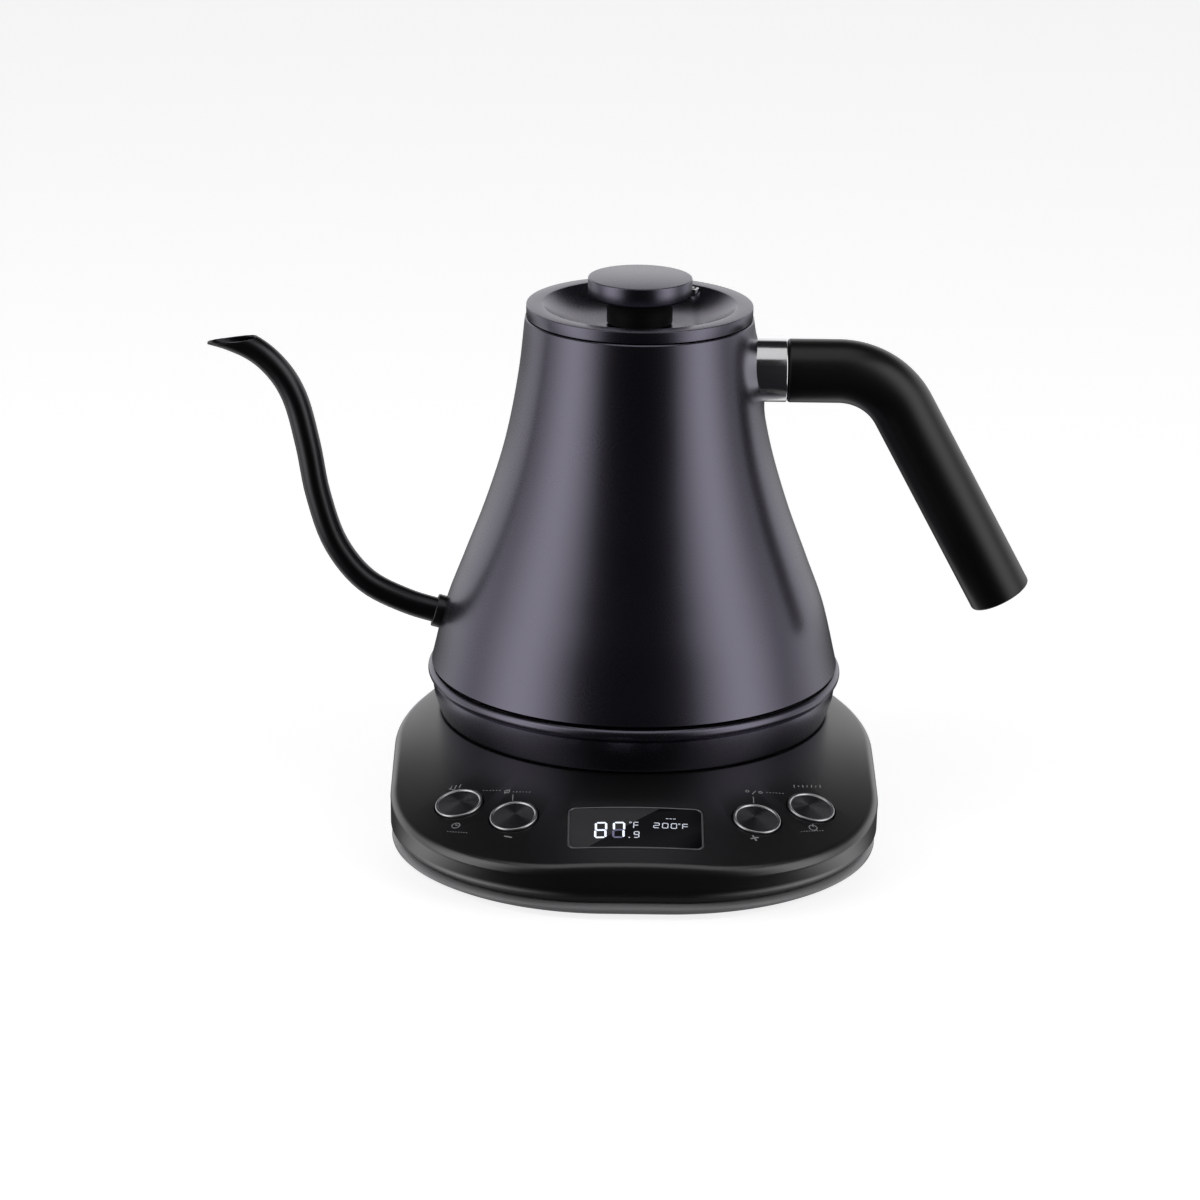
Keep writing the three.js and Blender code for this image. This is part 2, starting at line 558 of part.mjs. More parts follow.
function addLid() {
  const { radius, top, rim, ring: ringInner, dish } = LID;
  const sheet = 1;
  const shell = [
    [1.9, dish], [16, dish], [24, dish + 1.6], [30, dish + 4.3], [ringInner, top], [radius - 0.4, top],
    [radius, top - 0.4], [radius, rim], [radius - sheet, rim], [radius - sheet, top - sheet],
    [ringInner + 0.6, top - sheet], [30.5, dish + 3.3], [24.3, dish + 0.6], [16.2, dish - sheet],
    [1.9, dish - sheet], [1.9, dish],
  ];
  const ventPlace = [18.8, 25];
  const ventHole = disc(2.6, 165, 185, ...ventPlace, 12);
  part("lid_dish", cut(turned(shell), ventHole), bodyPaint());

  const liner = [
    [1.9, 163], [33, 163], [34.2, 164], [34.2, 167.6], [32.6, 167.6], [32.6, 171.4], [34.2, 171.4],
    [34.2, 174.4], [31.5, 174.4], [28, dish - sheet - 0.5], [1.9, dish - sheet - 0.5], [1.9, 163],
  ];
  part("lid_liner", cut(turned(liner, 28), disc(1.6, 160, 180, ...ventPlace, 12)), innerPlastic());
  const seal = [[33, 168], [34.6, 168], [35.2, 169.5], [34.6, 171], [33, 171], [33, 168]];
  part("lid_seal", turned(seal, 28), silicone());

  const vent = [[1.2, 174.8], [2.2, 174.8], [2.2, 178.8], [1.8, 179.2], [1.2, 179.2], [1.2, 174.8]];
  part("lid_vent", solidOf(turnedGeometry(vent, 12).translate(...ventPlace, 0)), chrome());

  const under = KNOB.top - KNOB.thickness;
  const knob = [
    [0, KNOB.top], [KNOB.radius - 0.4, KNOB.top], [KNOB.radius, KNOB.top - 0.4], [KNOB.radius, under + 1],
    [KNOB.radius - 0.9, under], [13.6, under], [12, under - 1.2], [KNOB.post, under - 3.4],
    [KNOB.post, dish + GAP], [1.8, dish + GAP], [1.8, under + 1.6], [0, under + 1.6],
  ];
  part("lid_knob", turned(knob, 32), bodyPaint());
  const screw = [
    [0, 160.6], [3.2, 160.6], [3.8, 161.2], [3.8, 162.7], [1.4, 162.7], [1.4, under + 0.6], [0, under + 1.1],
  ];
  part("lid_knob_screw", turned(screw, 12), stainless());
}

addBaseShell();
addBottomCover();
addFeetAndScrews();
addSocket();
addGland();
addDisplay();
addControlBoard();
addPowerBoard();
addButtons();
addKettleBody();
addSpout();
addHandle();
addSkirt();
addHeater();
addCoupler();
addKettleBottom();
addLid();

export default root;
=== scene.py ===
# %% [markdown]
# # A gooseneck kettle on its power base
# The kettle is a steel cone with a thin pouring spout, a lid with a flat knob and a bent handle.
# It stands on a plastic base that holds the heater's supply, a display and four round buttons.
# The engineering model is already finished: it says where every piece is and how it moves.
# This lesson builds the fine surfaces that are seen, and gives every piece its finish.

# %% Load the engineering model
import math

import bpy
from mathutils import Matrix, Vector


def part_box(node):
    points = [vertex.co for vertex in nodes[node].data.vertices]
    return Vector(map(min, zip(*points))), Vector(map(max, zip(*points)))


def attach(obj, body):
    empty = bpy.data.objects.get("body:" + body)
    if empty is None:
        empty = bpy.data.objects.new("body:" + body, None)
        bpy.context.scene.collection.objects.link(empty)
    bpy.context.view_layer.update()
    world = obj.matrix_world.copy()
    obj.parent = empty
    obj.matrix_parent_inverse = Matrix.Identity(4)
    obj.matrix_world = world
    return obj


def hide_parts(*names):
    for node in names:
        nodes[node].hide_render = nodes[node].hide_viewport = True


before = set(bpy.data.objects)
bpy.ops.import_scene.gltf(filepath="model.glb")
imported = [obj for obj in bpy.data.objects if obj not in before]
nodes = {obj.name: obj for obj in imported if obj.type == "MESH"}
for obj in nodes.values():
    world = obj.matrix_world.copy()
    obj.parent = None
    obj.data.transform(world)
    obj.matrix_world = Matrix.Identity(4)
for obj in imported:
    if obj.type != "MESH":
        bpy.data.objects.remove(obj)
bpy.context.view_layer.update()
MM = 0.001
print("pieces in the model:", len(nodes))


# %% Read places from the model, in millimetres
def lowest(node):
    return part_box(node)[0] / MM


def highest(node):
    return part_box(node)[1] / MM


body_top = highest("kettle_body").z
body_bottom = lowest("kettle_body").z
lid_top = highest("lid_dish").z
knob_top = highest("lid_knob").z
knob_radius = highest("lid_knob").x
print(f"body {body_bottom:.1f} to {body_top:.1f} mm, lid {lid_top:.1f} mm, knob {knob_top:.1f} mm")

# %% [markdown]
# ## Camera
# A long lens from about one and a half metres, a little above the table, keeps the sides of the
# cone straight. The camera is tipped down, and it leans by under a degree.

# %% Camera
EYE = Vector((-0.0213, -1.3999, 0.5375))
LENS = 126.05
TIP_DOWN, SWING, LEAN = 18.38, -0.37, 0.8

camera_data = bpy.data.cameras.new("camera")
camera_data.lens = LENS
camera_data.sensor_width = 36
camera = bpy.data.objects.new("camera", camera_data)
bpy.context.scene.collection.objects.link(camera)
swing = Matrix.Rotation(math.radians(SWING), 4, "Z")
tip = Matrix.Rotation(math.radians(90 - TIP_DOWN), 4, "X")
lean = Matrix.Rotation(math.radians(LEAN), 4, "Z")
camera.matrix_world = Matrix.Translation(EYE) @ swing @ tip @ lean
bpy.context.scene.camera = camera
bpy.context.scene.view_settings.view_transform = "Standard"
print("camera", round(EYE.length, 3), "m from the kettle's foot")

# %% [markdown]
# ## Shader arithmetic
# A procedural finish is a small sum over noise, rings and masks.
# Writing `0.3 + grain * 0.1` is far easier to read than a tree of Math nodes,
# so a small class wraps a node's socket and lets Python's operators add the nodes.


# %% A socket that can be added and multiplied
class Value:
    def __init__(self, paint, socket):
        self.paint = paint
        self.socket = socket

    def __add__(self, other):
        return self.paint.maths("ADD", self, other)

    def __sub__(self, other):
        return self.paint.maths("SUBTRACT", self, other)

    def __rsub__(self, other):
        return self.paint.maths("SUBTRACT", other, self)

    def __mul__(self, other):
        return self.paint.maths("MULTIPLY", self, other)

    def __truediv__(self, other):
        return self.paint.maths("DIVIDE", self, other)

    __radd__ = __add__
    __rmul__ = __mul__


# %% A material under construction
class Paint:
    def __init__(self, name, colour, roughness, metallic=0.0):
        self.material = bpy.data.materials.new(name)
        self.material.use_nodes = True
        self.material.diffuse_color = (*colour, 1)
        self.tree = self.material.node_tree
        self.shader = self.tree.nodes["Principled BSDF"]
        self.fill(self.shader, {"Base Color": colour, "Roughness": roughness, "Metallic": metallic})
        self.place = Value(self, self.tree.nodes.new("ShaderNodeTexCoord").outputs["Object"])

    def fill(self, node, sockets):
        """Give each named or numbered socket a number, a colour, a vector or a link."""
        for key, value in sockets.items():
            if isinstance(value, Value):
                self.tree.links.new(value.socket, node.inputs[key])
            elif isinstance(value, tuple) and node.inputs[key].type == "RGBA":
                node.inputs[key].default_value = (*value, 1)
            else:
                node.inputs[key].default_value = value

    def node(self, kind, settings, sockets, output=0):
        """Add a node: its settings first, then its sockets. The result is one of its outputs."""
        node = self.tree.nodes.new("ShaderNode" + kind)
        for name, value in settings.items():
            setattr(node, name, value)
        self.fill(node, sockets)
        return Value(self, node.outputs[output])

    def maths(self, operation, *values):
        return self.node("Math", {"operation": operation}, dict(enumerate(values)))

    def noise(self, size, detail=2.0, where=None):
        """Cloudy noise from 0 to 1 whose blotches are about size millimetres across."""
        sockets = {"Vector": where or self.place, "Scale": 1 / (size * MM), "Detail": detail}
        return self.node("TexNoise", {}, sockets)

    def mix(self, share, first, second):
        """A colour between two colours."""
        sockets = {"Factor": share, 6: first, 7: second}
        return self.node("Mix", {"data_type": "RGBA"}, sockets, 2)

    def axis(self, name, where=None):
        """X, Y or Z of a place, in metres."""
        return self.node("SeparateXYZ", {}, {0: where or self.place}, "XYZ".index(name))

    def step(self, value, start, end):
        """0 below start, 1 above end, and smooth between them."""
        settings = {"interpolation_type": "SMOOTHSTEP"}
        return self.node("MapRange", settings, {0: value, 1: start, 2: end})

    def stretched(self, x, y, z):
        """The place, squeezed along some axes so that noise becomes streaks."""
        return self.node("Mapping", {}, {"Vector": self.place, "Scale": (x, y, z)})

    def bump(self, height, depth, strength=1.0):
        """Relief of a given depth in millimetres."""
        sockets = {"Height": height, "Distance": depth * MM, "Strength": strength}
        self.fill(self.shader, {"Normal": self.node("Bump", {}, sockets)})

    def set(self, **sockets):
        self.fill(self.shader, {key.replace("_", " "): value for key, value in sockets.items()})


# %% [markdown]
# ## Finishes
# Each finish has three scales: a fine grain that breaks up the gloss, a cloudy change that a hand
# or a mould leaves behind, and the colour itself. The dark lacquer on the steel is a metallic
# paint, so its highlights are grey-violet, and the plastics only shine a little.


# %% Lacquered steel
def lacquer(name, colour, roughness, grain_size=0.35):
    paint = Paint(name, colour, roughness, 1.0)
    flake = paint.noise(0.16, 1.0)
    cloud = paint.noise(38, 3.0)
    lighter = tuple(c * 1.22 for c in colour)
    darker = tuple(c * 0.84 for c in colour)
    paint.set(Base_Color=paint.mix(flake * 0.75 + cloud * 0.25, darker, lighter))
    paint.set(Roughness=roughness - 0.05 + cloud * 0.06 + flake * 0.04)
    paint.bump(paint.noise(grain_size, 2.0), 0.012, 0.35)
    paint.set(Coat_Weight=0.12, Coat_Roughness=0.2)
    return paint.material


# %% Moulded plastics
def plastic(name, colour, roughness, grain_size=0.3, grain_depth=0.02, specular=0.5, coat=0.0):
    paint = Paint(name, colour, roughness)
    grain = paint.noise(grain_size, 3.0)
    cloud = paint.noise(45, 3.0)
    lighter = tuple(c * 1.3 + 0.001 for c in colour)
    darker = tuple(c * 0.75 for c in colour)
    paint.set(Base_Color=paint.mix(cloud * 0.6 + grain * 0.4, darker, lighter))
    paint.set(Roughness=roughness - 0.06 + cloud * 0.07 + grain * 0.05)
    paint.set(Specular_IOR_Level=specular, Coat_Weight=coat, Coat_Roughness=roughness)
    paint.bump(grain, grain_depth, 0.4)
    return paint.material


# %% Bare metals
def brushed(name, colour, roughness, stretch=(1, 1, 1), streak=0.4):
    paint = Paint(name, colour, roughness, 1.0)
    lines = paint.noise(streak, 4.0, paint.stretched(*stretch))
    cloud = paint.noise(30, 2.0)
    darker = tuple(c * 0.8 for c in colour)
    paint.set(Base_Color=paint.mix(lines * 0.6 + cloud * 0.4, darker, colour))
    paint.set(Roughness=roughness - 0.06 + lines * 0.08 + cloud * 0.05)
    paint.bump(lines, 0.006, 0.3)
    return paint.material


def circle_brushed(name, colour, roughness, ring_pitch, place=Matrix.Identity(4)):
    """Metal turned on a lathe: fine rings about the piece's own axis."""
    paint = Paint(name, colour, roughness, 1.0)
    sockets = {
        "Vector": paint.place,
        "Location": tuple(place.to_translation()),
        "Rotation": tuple(place.to_euler()),
    }
    own = paint.node("Mapping", {"vector_type": "TEXTURE"}, sockets)
    flat = paint.node("VectorMath", {"operation": "MULTIPLY"}, {0: own, 1: (1, 1, 0)})
    radius = paint.node("VectorMath", {"operation": "LENGTH"}, {0: flat}, 1)
    rings = paint.maths("SINE", radius * (math.tau / (ring_pitch * MM))) * 0.5 + 0.5
    uneven = paint.node("TexNoise", {"noise_dimensions": "1D"}, {"W": radius, "Scale": 4000.0})
    grooves = rings * 0.6 + uneven * 0.4
    darker = tuple(c * 0.7 for c in colour)
    paint.set(Base_Color=paint.mix(grooves, darker, colour))
    paint.set(Roughness=roughness - 0.04 + uneven * 0.08)
    paint.bump(grooves, 0.01, 0.25)
    paint.set(Anisotropic=0.95)
    return paint.material


# %% Rubber, glass, laminate, ink and light
def soft(name, colour):
    paint = Paint(name, colour, 0.8)
    dust = paint.noise(0.6, 4.0)
    paint.set(Base_Color=paint.mix(dust, colour, tuple(c * 1.5 + 0.01 for c in colour)))
    paint.set(Roughness=0.72 + dust * 0.15)
    paint.bump(dust, 0.04, 0.5)
    return paint.material


def laminate(name):
    """A circuit board: green resist over a weave, with tracks that stand out a little."""
    paint = Paint(name, (0.01, 0.09, 0.03), 0.4)
    settings = {"feature": "DISTANCE_TO_EDGE", "distance": "EUCLIDEAN"}
    cells = paint.node("TexVoronoi", settings, {"Vector": paint.place, "Scale": 260.0})
    track = 1 - paint.step(cells, 0.03, 0.06)
    weave = paint.noise(0.5, 2.0)
    board = paint.mix(weave, (0.006, 0.06, 0.02), (0.012, 0.1, 0.035))
    paint.set(Base_Color=paint.mix(track, board, (0.03, 0.2, 0.06)), Roughness=0.5 - track * 0.15)
    paint.bump(track + weave * 0.2, 0.03, 0.4)
    return paint.material


def ink(name, colour):
    paint = Paint(name, colour, 0.5)
    worn = paint.noise(0.25, 3.0)
    paint.set(Base_Color=paint.mix(worn, tuple(c * 0.7 for c in colour), colour))
    paint.set(Roughness=0.45 + worn * 0.15)
    paint.bump(worn, 0.005, 0.3)
    return paint.material


def glowing(name, colour, strength):
    paint = Paint(name, colour, 0.3)
    uneven = paint.noise(0.5, 2.0)
    paint.set(Emission_Color=paint.mix(uneven, tuple(c * 0.75 for c in colour), colour))
    paint.set(Emission_Strength=strength, Roughness=0.25 + uneven * 0.1)
    return paint.material


print("finishes defined")

# %% [markdown]
# ## The palette
# One material for each finish, shared by the pieces that the factory would make of the same stuff.

# %% Palette
VIOLET_GREY = (0.115, 0.108, 0.138)
NEAR_BLACK = (0.004, 0.004, 0.0045)

kettle_paint = lacquer("kettle_paint", VIOLET_GREY, 0.27)
spout_paint = lacquer("spout_paint", (0.05, 0.05, 0.053), 0.33, 0.5)
shell_plastic = plastic("satin_shell", NEAR_BLACK, 0.3, 0.28, 0.008, 1.0, 0.25)
grip_plastic = plastic("grip_plastic", (0.003, 0.003, 0.003), 0.34, 0.4, 0.012)
gloss_plastic = plastic("gloss_plastic", (0.005, 0.005, 0.0055), 0.2, 1.5, 0.006)
post_plastic = plastic("post_plastic", (0.004, 0.004, 0.004), 0.5, 0.3, 0.02, 0.25)
# The tray's mid grey is a painted reflection: it stands in for the pale table mirrored in its lip.
tray_painted_reflection = plastic("tray_painted_reflection", (0.24, 0.24, 0.245), 0.3, 0.4, 0.01)
inner_plastic = plastic("inner_plastic", (0.022, 0.022, 0.024), 0.5)
pale_plastic = plastic("pale_plastic", (0.42, 0.41, 0.38), 0.45)
chrome = brushed("chrome", (0.82, 0.82, 0.83), 0.15, (0.04, 1, 1), 0.5)
stainless = brushed("stainless", (0.62, 0.61, 0.6), 0.28, (1, 1, 0.05), 0.3)
aluminium = brushed("aluminium", (0.6, 0.61, 0.63), 0.42, (1, 1, 1), 1.2)
brass = brushed("brass", (0.62, 0.45, 0.16), 0.25, (1, 1, 0.1), 0.3)
rubber = soft("rubber", (0.012, 0.012, 0.012))
silicone = soft("silicone", (0.3, 0.3, 0.3))
board_laminate = laminate("board_laminate")
print(len(bpy.data.materials), "materials so far")

# %% [markdown]
# ## Modelling helpers
# Almost every piece is drawn as a section and then spun or extruded, as on a bench.
# A section starts as one vertex: a tiny plane merged to its centre. The vertex is extruded from
# point to point, and the line that it leaves is spun round the kettle's axis.


# %% Selecting and finishing
def select_only(piece):
    if bpy.context.mode != "OBJECT":
        bpy.ops.object.mode_set(mode="OBJECT")
    bpy.ops.object.select_all(action="DESELECT")
    if piece:
        piece.select_set(True)
        bpy.context.view_layer.objects.active = piece


def modify(piece, kind, **settings):
    """Add a modifier and apply it."""
    select_only(piece)
    modifier = piece.modifiers.new(kind.lower(), kind)
    for name, value in settings.items():
        setattr(modifier, name, value)
    bpy.ops.object.modifier_apply(modifier=modifier.name)


def soften(piece, width, segments=3, angle=38):
    """Round every edge that turns by more than an angle."""
    limit = {"limit_method": "ANGLE", "angle_limit": math.radians(angle)}
    modify(piece, "BEVEL", width=width * MM, segments=segments, **limit)


def cut(piece, cutter, operation="DIFFERENCE"):
    """Cut one piece with another, and throw the cutter away."""
    modify(piece, "BOOLEAN", operation=operation, object=cutter, solver="EXACT")
    bpy.data.objects.remove(cutter)


def put(piece, place):
    """Move a piece, and keep its own origin at the model's origin."""
    select_only(piece)
    piece.matrix_world = place
    bpy.ops.object.transform_apply(location=True, rotation=True, scale=True)


def finish(piece, body, replaced, slot, *materials, angle=32):
    """Smooth a piece, dress it, and let it ride on its body."""
    select_only(piece)
    bpy.ops.object.shade_smooth_by_angle(angle=math.radians(angle))
    piece.data.materials.clear()
    for material in materials:
        piece.data.materials.append(material)
    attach(piece, body)
    if replaced:
        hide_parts(*replaced)
    print(f"{piece.name}: {len(piece.data.polygons)} faces on {body}")
    return piece


# %% Drawing and spinning a section
def start_point(name):
    select_only(None)
    bpy.ops.mesh.primitive_plane_add(size=MM)
    piece = bpy.context.object
    piece.name = name
    bpy.ops.object.mode_set(mode="EDIT")
    bpy.ops.mesh.merge(type="CENTER")
    return piece


def draw_line(points):
    """Take the selected vertex to the first point, in millimetres, and on through the others."""
    places = [Vector(p) * MM for p in points]
    bpy.ops.transform.translate(value=places[0])
    for here, there in zip(places, places[1:]):
        bpy.ops.mesh.extrude_region_move(TRANSFORM_OT_translate={"value": there - here})


def face_outwards():
    bpy.ops.mesh.select_all(action="SELECT")
    bpy.ops.mesh.remove_doubles(threshold=0.0005 * MM)
    bpy.ops.mesh.normals_make_consistent(inside=False)
    bpy.ops.object.mode_set(mode="OBJECT")


def turned(name, section, steps=96, place=None):
    """Spin a section of (radius, height) points about the upright axis."""
    piece = start_point(name)
    draw_line([(r, 0, z) for r, z in section])
    bpy.ops.mesh.select_all(action="SELECT")
    bpy.ops.mesh.spin(steps=steps, angle=math.tau, center=(0, 0, 0), axis=(0, 0, 1))
    face_outwards()
    if place:
        put(piece, place)
    return piece


# %% Plain sections and places
def disc(radius, bottom, top):
    """The section of a solid disc."""
    return [(0, bottom), (radius, bottom), (radius, top), (0, top)]


def ring(inner, outer, bottom, top):
    """The closed section of a ring with square edges."""
    return [(inner, bottom), (outer, bottom), (outer, top), (inner, top), (inner, bottom)]


def at(x, y, z=0):
    return Matrix.Translation(Vector((x, y, z)) * MM)


def around(degrees, radius):
    """A place on a circle about the upright axis, counted from +X."""
    return Matrix.Rotation(math.radians(degrees), 4, "Z") @ at(radius, 0)


def flipped(place):
    """The same place with its own Z pointing down."""
    return place @ Matrix.Rotation(math.pi, 4, "X")


# %% Curves for sections and routes
def arc(centre, radius, start, end, steps):
    """Points on an arc, from one angle to another in degrees."""
    angles = [math.radians(start + (end - start) * i / steps) for i in range(steps + 1)]
    return [(centre[0] + radius * math.cos(a), centre[1] + radius * math.sin(a)) for a in angles]


def flowing(points, per_span):
    """A smooth curve through unevenly spaced points (centripetal Catmull-Rom)."""
    points = [Vector(p) for p in points]
    points = [2 * points[0] - points[1], *points, 2 * points[-1] - points[-2]]
    curve = []
    for before, first, last, after in zip(points, points[1:], points[2:], points[3:]):
        spans = ((before, first), (first, last), (last, after))
        a, b, c = ((q - p).length ** 0.5 for p, q in spans)
        leave = ((first - before) / a - (last - before) / (a + b) + (last - first) / b) * b
        arrive = ((last - first) / b - (after - first) / (b + c) + (after - last) / c) * b
        for i in range(per_span):
            s = i / per_span
            ends = first * (2 * s**3 - 3 * s**2 + 1) + last * (3 * s**2 - 2 * s**3)
            curve.append(ends + leave * (s**3 - 2 * s**2 + s) + arrive * (s**3 - s**2))
    return [tuple(p) for p in [*curve, points[-2]]]


# %% Sweeping a tube
def heading(route, i):
    """Angle of a route from straight up, towards +X, at point i."""
    before, after = route[max(i - 1, 0)], route[min(i + 1, len(route) - 1)]
    return math.atan2(after[0] - before[0], after[1] - before[1])


def swept(name, route, radius, sides, closed):
    """Extrude a circle along a route of (x, z) points. Without a window, rotate turns clockwise."""
    select_only(None)
    fill = "NGON" if closed else "NOTHING"
    bpy.ops.mesh.primitive_circle_add(vertices=sides, radius=radius * MM, fill_type=fill)
    piece = bpy.context.object
    piece.name = name
    bpy.ops.object.mode_set(mode="EDIT")
    angle, place = 0, Vector()
    for i, (x, z) in enumerate(route):
        there, new_angle = Vector((x, 0, z)) * MM, heading(route, i)
        if i:
            bpy.ops.mesh.extrude_region_move(TRANSFORM_OT_translate={"value": there - place})
        else:
            bpy.ops.transform.translate(value=there)
        bpy.ops.transform.rotate(value=angle - new_angle, orient_axis="Y", center_override=there)
        angle, place = new_angle, there
    return piece


print("helpers ready")

# %% [markdown]
# ## Kettle body
# The body is spun from one sheet of steel: a long cone that flares out to the heater. Its outline
# is one smooth curve, so it is drawn through seven points and spun in fine steps. The rim is
# rolled in to a narrower mouth that the lid sits in. The inside is left as bare steel.

# %% Body outline
RIM_RADIUS = 39.4
BODY_OUTLINE = [(71.2, 51), (66.1, 72), (60.2, 88), (52.4, 109), (45.9, 131), (41.5, 155)]
BODY_OUTLINE += [(RIM_RADIUS, 175.2)]
BODY_WALL = 0.9
MOUTH = 35.6
EDGE = 0.35
outline = flowing(BODY_OUTLINE, 8)


def body_solid(name, offset):
    """Everything inside the outer skin moved out by an offset, to trim what meets it."""
    section = [(0, body_bottom), *((r + offset, z) for r, z in outline), (0, body_top)]
    return turned(name, section, 128)


def body_radius(z):
    for (r0, z0), (r1, z1) in zip(outline, outline[1:]):
        if z0 <= z <= z1:
            return r0 + (r1 - r0) * (z - z0) / (z1 - z0)
    return outline[0][0]


# %% Spin the body
inside = [(r - BODY_WALL, z) for r, z in reversed(outline[:-1])]
rim = [(RIM_RADIUS - EDGE, body_top), (MOUTH + EDGE, body_top), (MOUTH, body_top - EDGE)]
rim += [(MOUTH, body_top - BODY_WALL), (37.9, body_top - BODY_WALL), (38.6, body_top - 2)]
outer = [*outline[:-1], (RIM_RADIUS, body_top - EDGE)]
body = turned("kettle_body_skin", [*outer, *rim, *inside[1:], outline[0]], 160)

# %% Let the skin swell where the handle is welded on
HANDLE_Z = 156.6
WELD_REACH, WELD_HEIGHT = 17.0, 0.7
COLLAR_RADIUS = 10.9

for vertex in body.data.vertices:
    x, y, z = vertex.co / MM
    reach = math.hypot(y, z - HANDLE_Z)
    on_skin = math.hypot(x, y) > body_radius(z) - 0.2
    if x > 0 and on_skin and COLLAR_RADIUS - 4 < reach < WELD_REACH:
        share = 1 - (max(reach, COLLAR_RADIUS) - COLLAR_RADIUS) / (WELD_REACH - COLLAR_RADIUS)
        vertex.co.x += WELD_HEIGHT * share**2 * MM


# %% Bare steel inside, lacquer outside
def paint_inside(piece, index):
    """Give the faces that look at the axis another of the piece's materials."""
    for face in piece.data.polygons:
        outwards = Vector((face.center.x, face.center.y, 0)).normalized()
        if face.normal.dot(outwards) < -0.3:
            face.material_index = index


SPOUT_ROOT = [(-60, 65.2), (-75, 69.5)]
cut(body, swept("spout_hole", SPOUT_ROOT, 3.3, 32, True))
finish(body, "kettle", ["kettle_body"], "kettle_paint", kettle_paint, stainless)
paint_inside(body, 1)

# %% [markdown]
# ## Spout
# The gooseneck is a thin steel tube. It leaves low on the body, rises in an S and ends in a beak
# that is sliced almost level, so that the water leaves in one thin thread. The centreline is a
# smooth curve through a few points. The tube is an open skin, sliced by a plane and then given
# its wall, so that the beak shows the wall's real thickness.

# %% Sweep and slice the tube
SPOUT_RADIUS, SPOUT_WALL = 4.4, 0.9
SPOUT_TIP, SLICE_SLOPE = (-149.6, 163.4), 9.7
SPOUT_ROUTE = [(-60, 65.2), (-68, 67.5), (-80, 71.2), (-94.2, 78.7), (-104.6, 91.8)]
SPOUT_ROUTE += [(-110.9, 110.1), (-114.3, 128.1), (-118.7, 144.9), (-123.6, 153.7), (-131, 161)]
SPOUT_ROUTE += [(-140.4, 165.7), (-152.6, 169.1)]

spout = swept("spout_tube", flowing(SPOUT_ROUTE, 6), SPOUT_RADIUS, 40, False)
bpy.ops.mesh.select_all(action="SELECT")
slope = math.radians(SLICE_SLOPE)
slice_point = Vector((SPOUT_TIP[0], 0, SPOUT_TIP[1])) * MM
slice_up = (-math.sin(slope), 0, math.cos(slope))


def drop_above(piece, point, up, left_of):
    """Slice the open tube with a plane, and drop what is past it near the tip."""
    bpy.ops.mesh.bisect(plane_co=point, plane_no=up)
    bpy.ops.mesh.select_all(action="DESELECT")
    bpy.ops.object.mode_set(mode="OBJECT")
    for face in piece.data.polygons:
        beyond = (face.center - point).dot(Vector(up)) > 0
        face.select = beyond and face.center.x < left_of * MM
    bpy.ops.object.mode_set(mode="EDIT")
    bpy.ops.mesh.select_mode(type="FACE")
    bpy.ops.mesh.delete(type="FACE")
    bpy.ops.mesh.select_mode(type="VERT")


drop_above(spout, slice_point, slice_up, -100)
face_outwards()
first = spout.data.polygons[0]
root = Vector((SPOUT_ROUTE[0][0], 0, SPOUT_ROUTE[0][1])) * MM
inwards = 1 if first.normal.dot(first.center - root) < 0 else -1
modify(spout, "SOLIDIFY", thickness=SPOUT_WALL * MM, offset=inwards, use_even_offset=True)
soften(spout, 0.25, 2, 50)
cut(spout, body_solid("trim", 0.05))
finish(spout, "kettle", ["spout"], "spout_paint", spout_paint)
print("tube radius at its root", round(max(v.co.y for v in spout.data.vertices) / MM, 2))
tip = min((v.co / MM for v in spout.data.vertices), key=lambda v: v.x)
print("tip", [round(v, 1) for v in tip])

# %% [markdown]
# ## Spout collar
# A short turned ring hides the joint where the tube enters the body. It is drawn upright, rounded,
# laid over along the tube, and trimmed by the body's skin so that it sits on the cone.

# %% Spout collar
def along(start, end):
    """A place at start whose own Z runs towards end, for points (x, z) in the spout's plane."""
    angle = math.atan2(end[0] - start[0], end[1] - start[1])
    return Matrix.Translation(Vector((start[0], 0, start[1])) * MM) @ Matrix.Rotation(angle, 4, "Y")


COLLAR_START, COLLAR_END = (-62, 65.8), (-70.2, 68.1)
collar_length = math.dist(COLLAR_START, COLLAR_END)
spout_collar = turned("spout_collar_ring", ring(4.5, 5.8, 0, collar_length), 64)
soften(spout_collar, 0.35)
put(spout_collar, along(COLLAR_START, COLLAR_END))
cut(spout_collar, body_solid("trim", 0.05))
finish(spout_collar, "kettle", ["spout_collar"], "spout_paint", spout_paint)

# %% [markdown]
# ## Handle
# A polished sleeve stands out from the body, and a round grip is pushed on after it. The grip runs
# straight out, turns once and leans away down its leg. The route is two straights and an arc, so
# the tube needs stations only on the arc. The end is sunk to take a small cap and its screw.

# %% Handle sleeve
SLEEVE_END = 51.0
sleeve = turned("handle_sleeve", disc(COLLAR_RADIUS, 30, SLEEVE_END), 96)
soften(sleeve, 0.4)
put(sleeve, along((0, HANDLE_Z), (1, HANDLE_Z)))
cut(sleeve, body_solid("trim", 0.3))
finish(sleeve, "kettle", ["handle_collar"], "chrome", chrome)

# %% Grip route
GRIP_RADIUS, GRIP_BEND, GRIP_LEAN, GRIP_LEG = 11, 26, 28.5, 91.5
GRIP_CORNER = (84.5, HANDLE_Z)
lean = math.radians(GRIP_LEAN)
reach = GRIP_BEND * math.tan((math.pi / 2 - lean) / 2)


def on_leg(distance):
    """A point of the leg's centreline, measured from the corner of the two straights."""
    return (GRIP_CORNER[0] + distance * math.sin(lean), GRIP_CORNER[1] - distance * math.cos(lean))


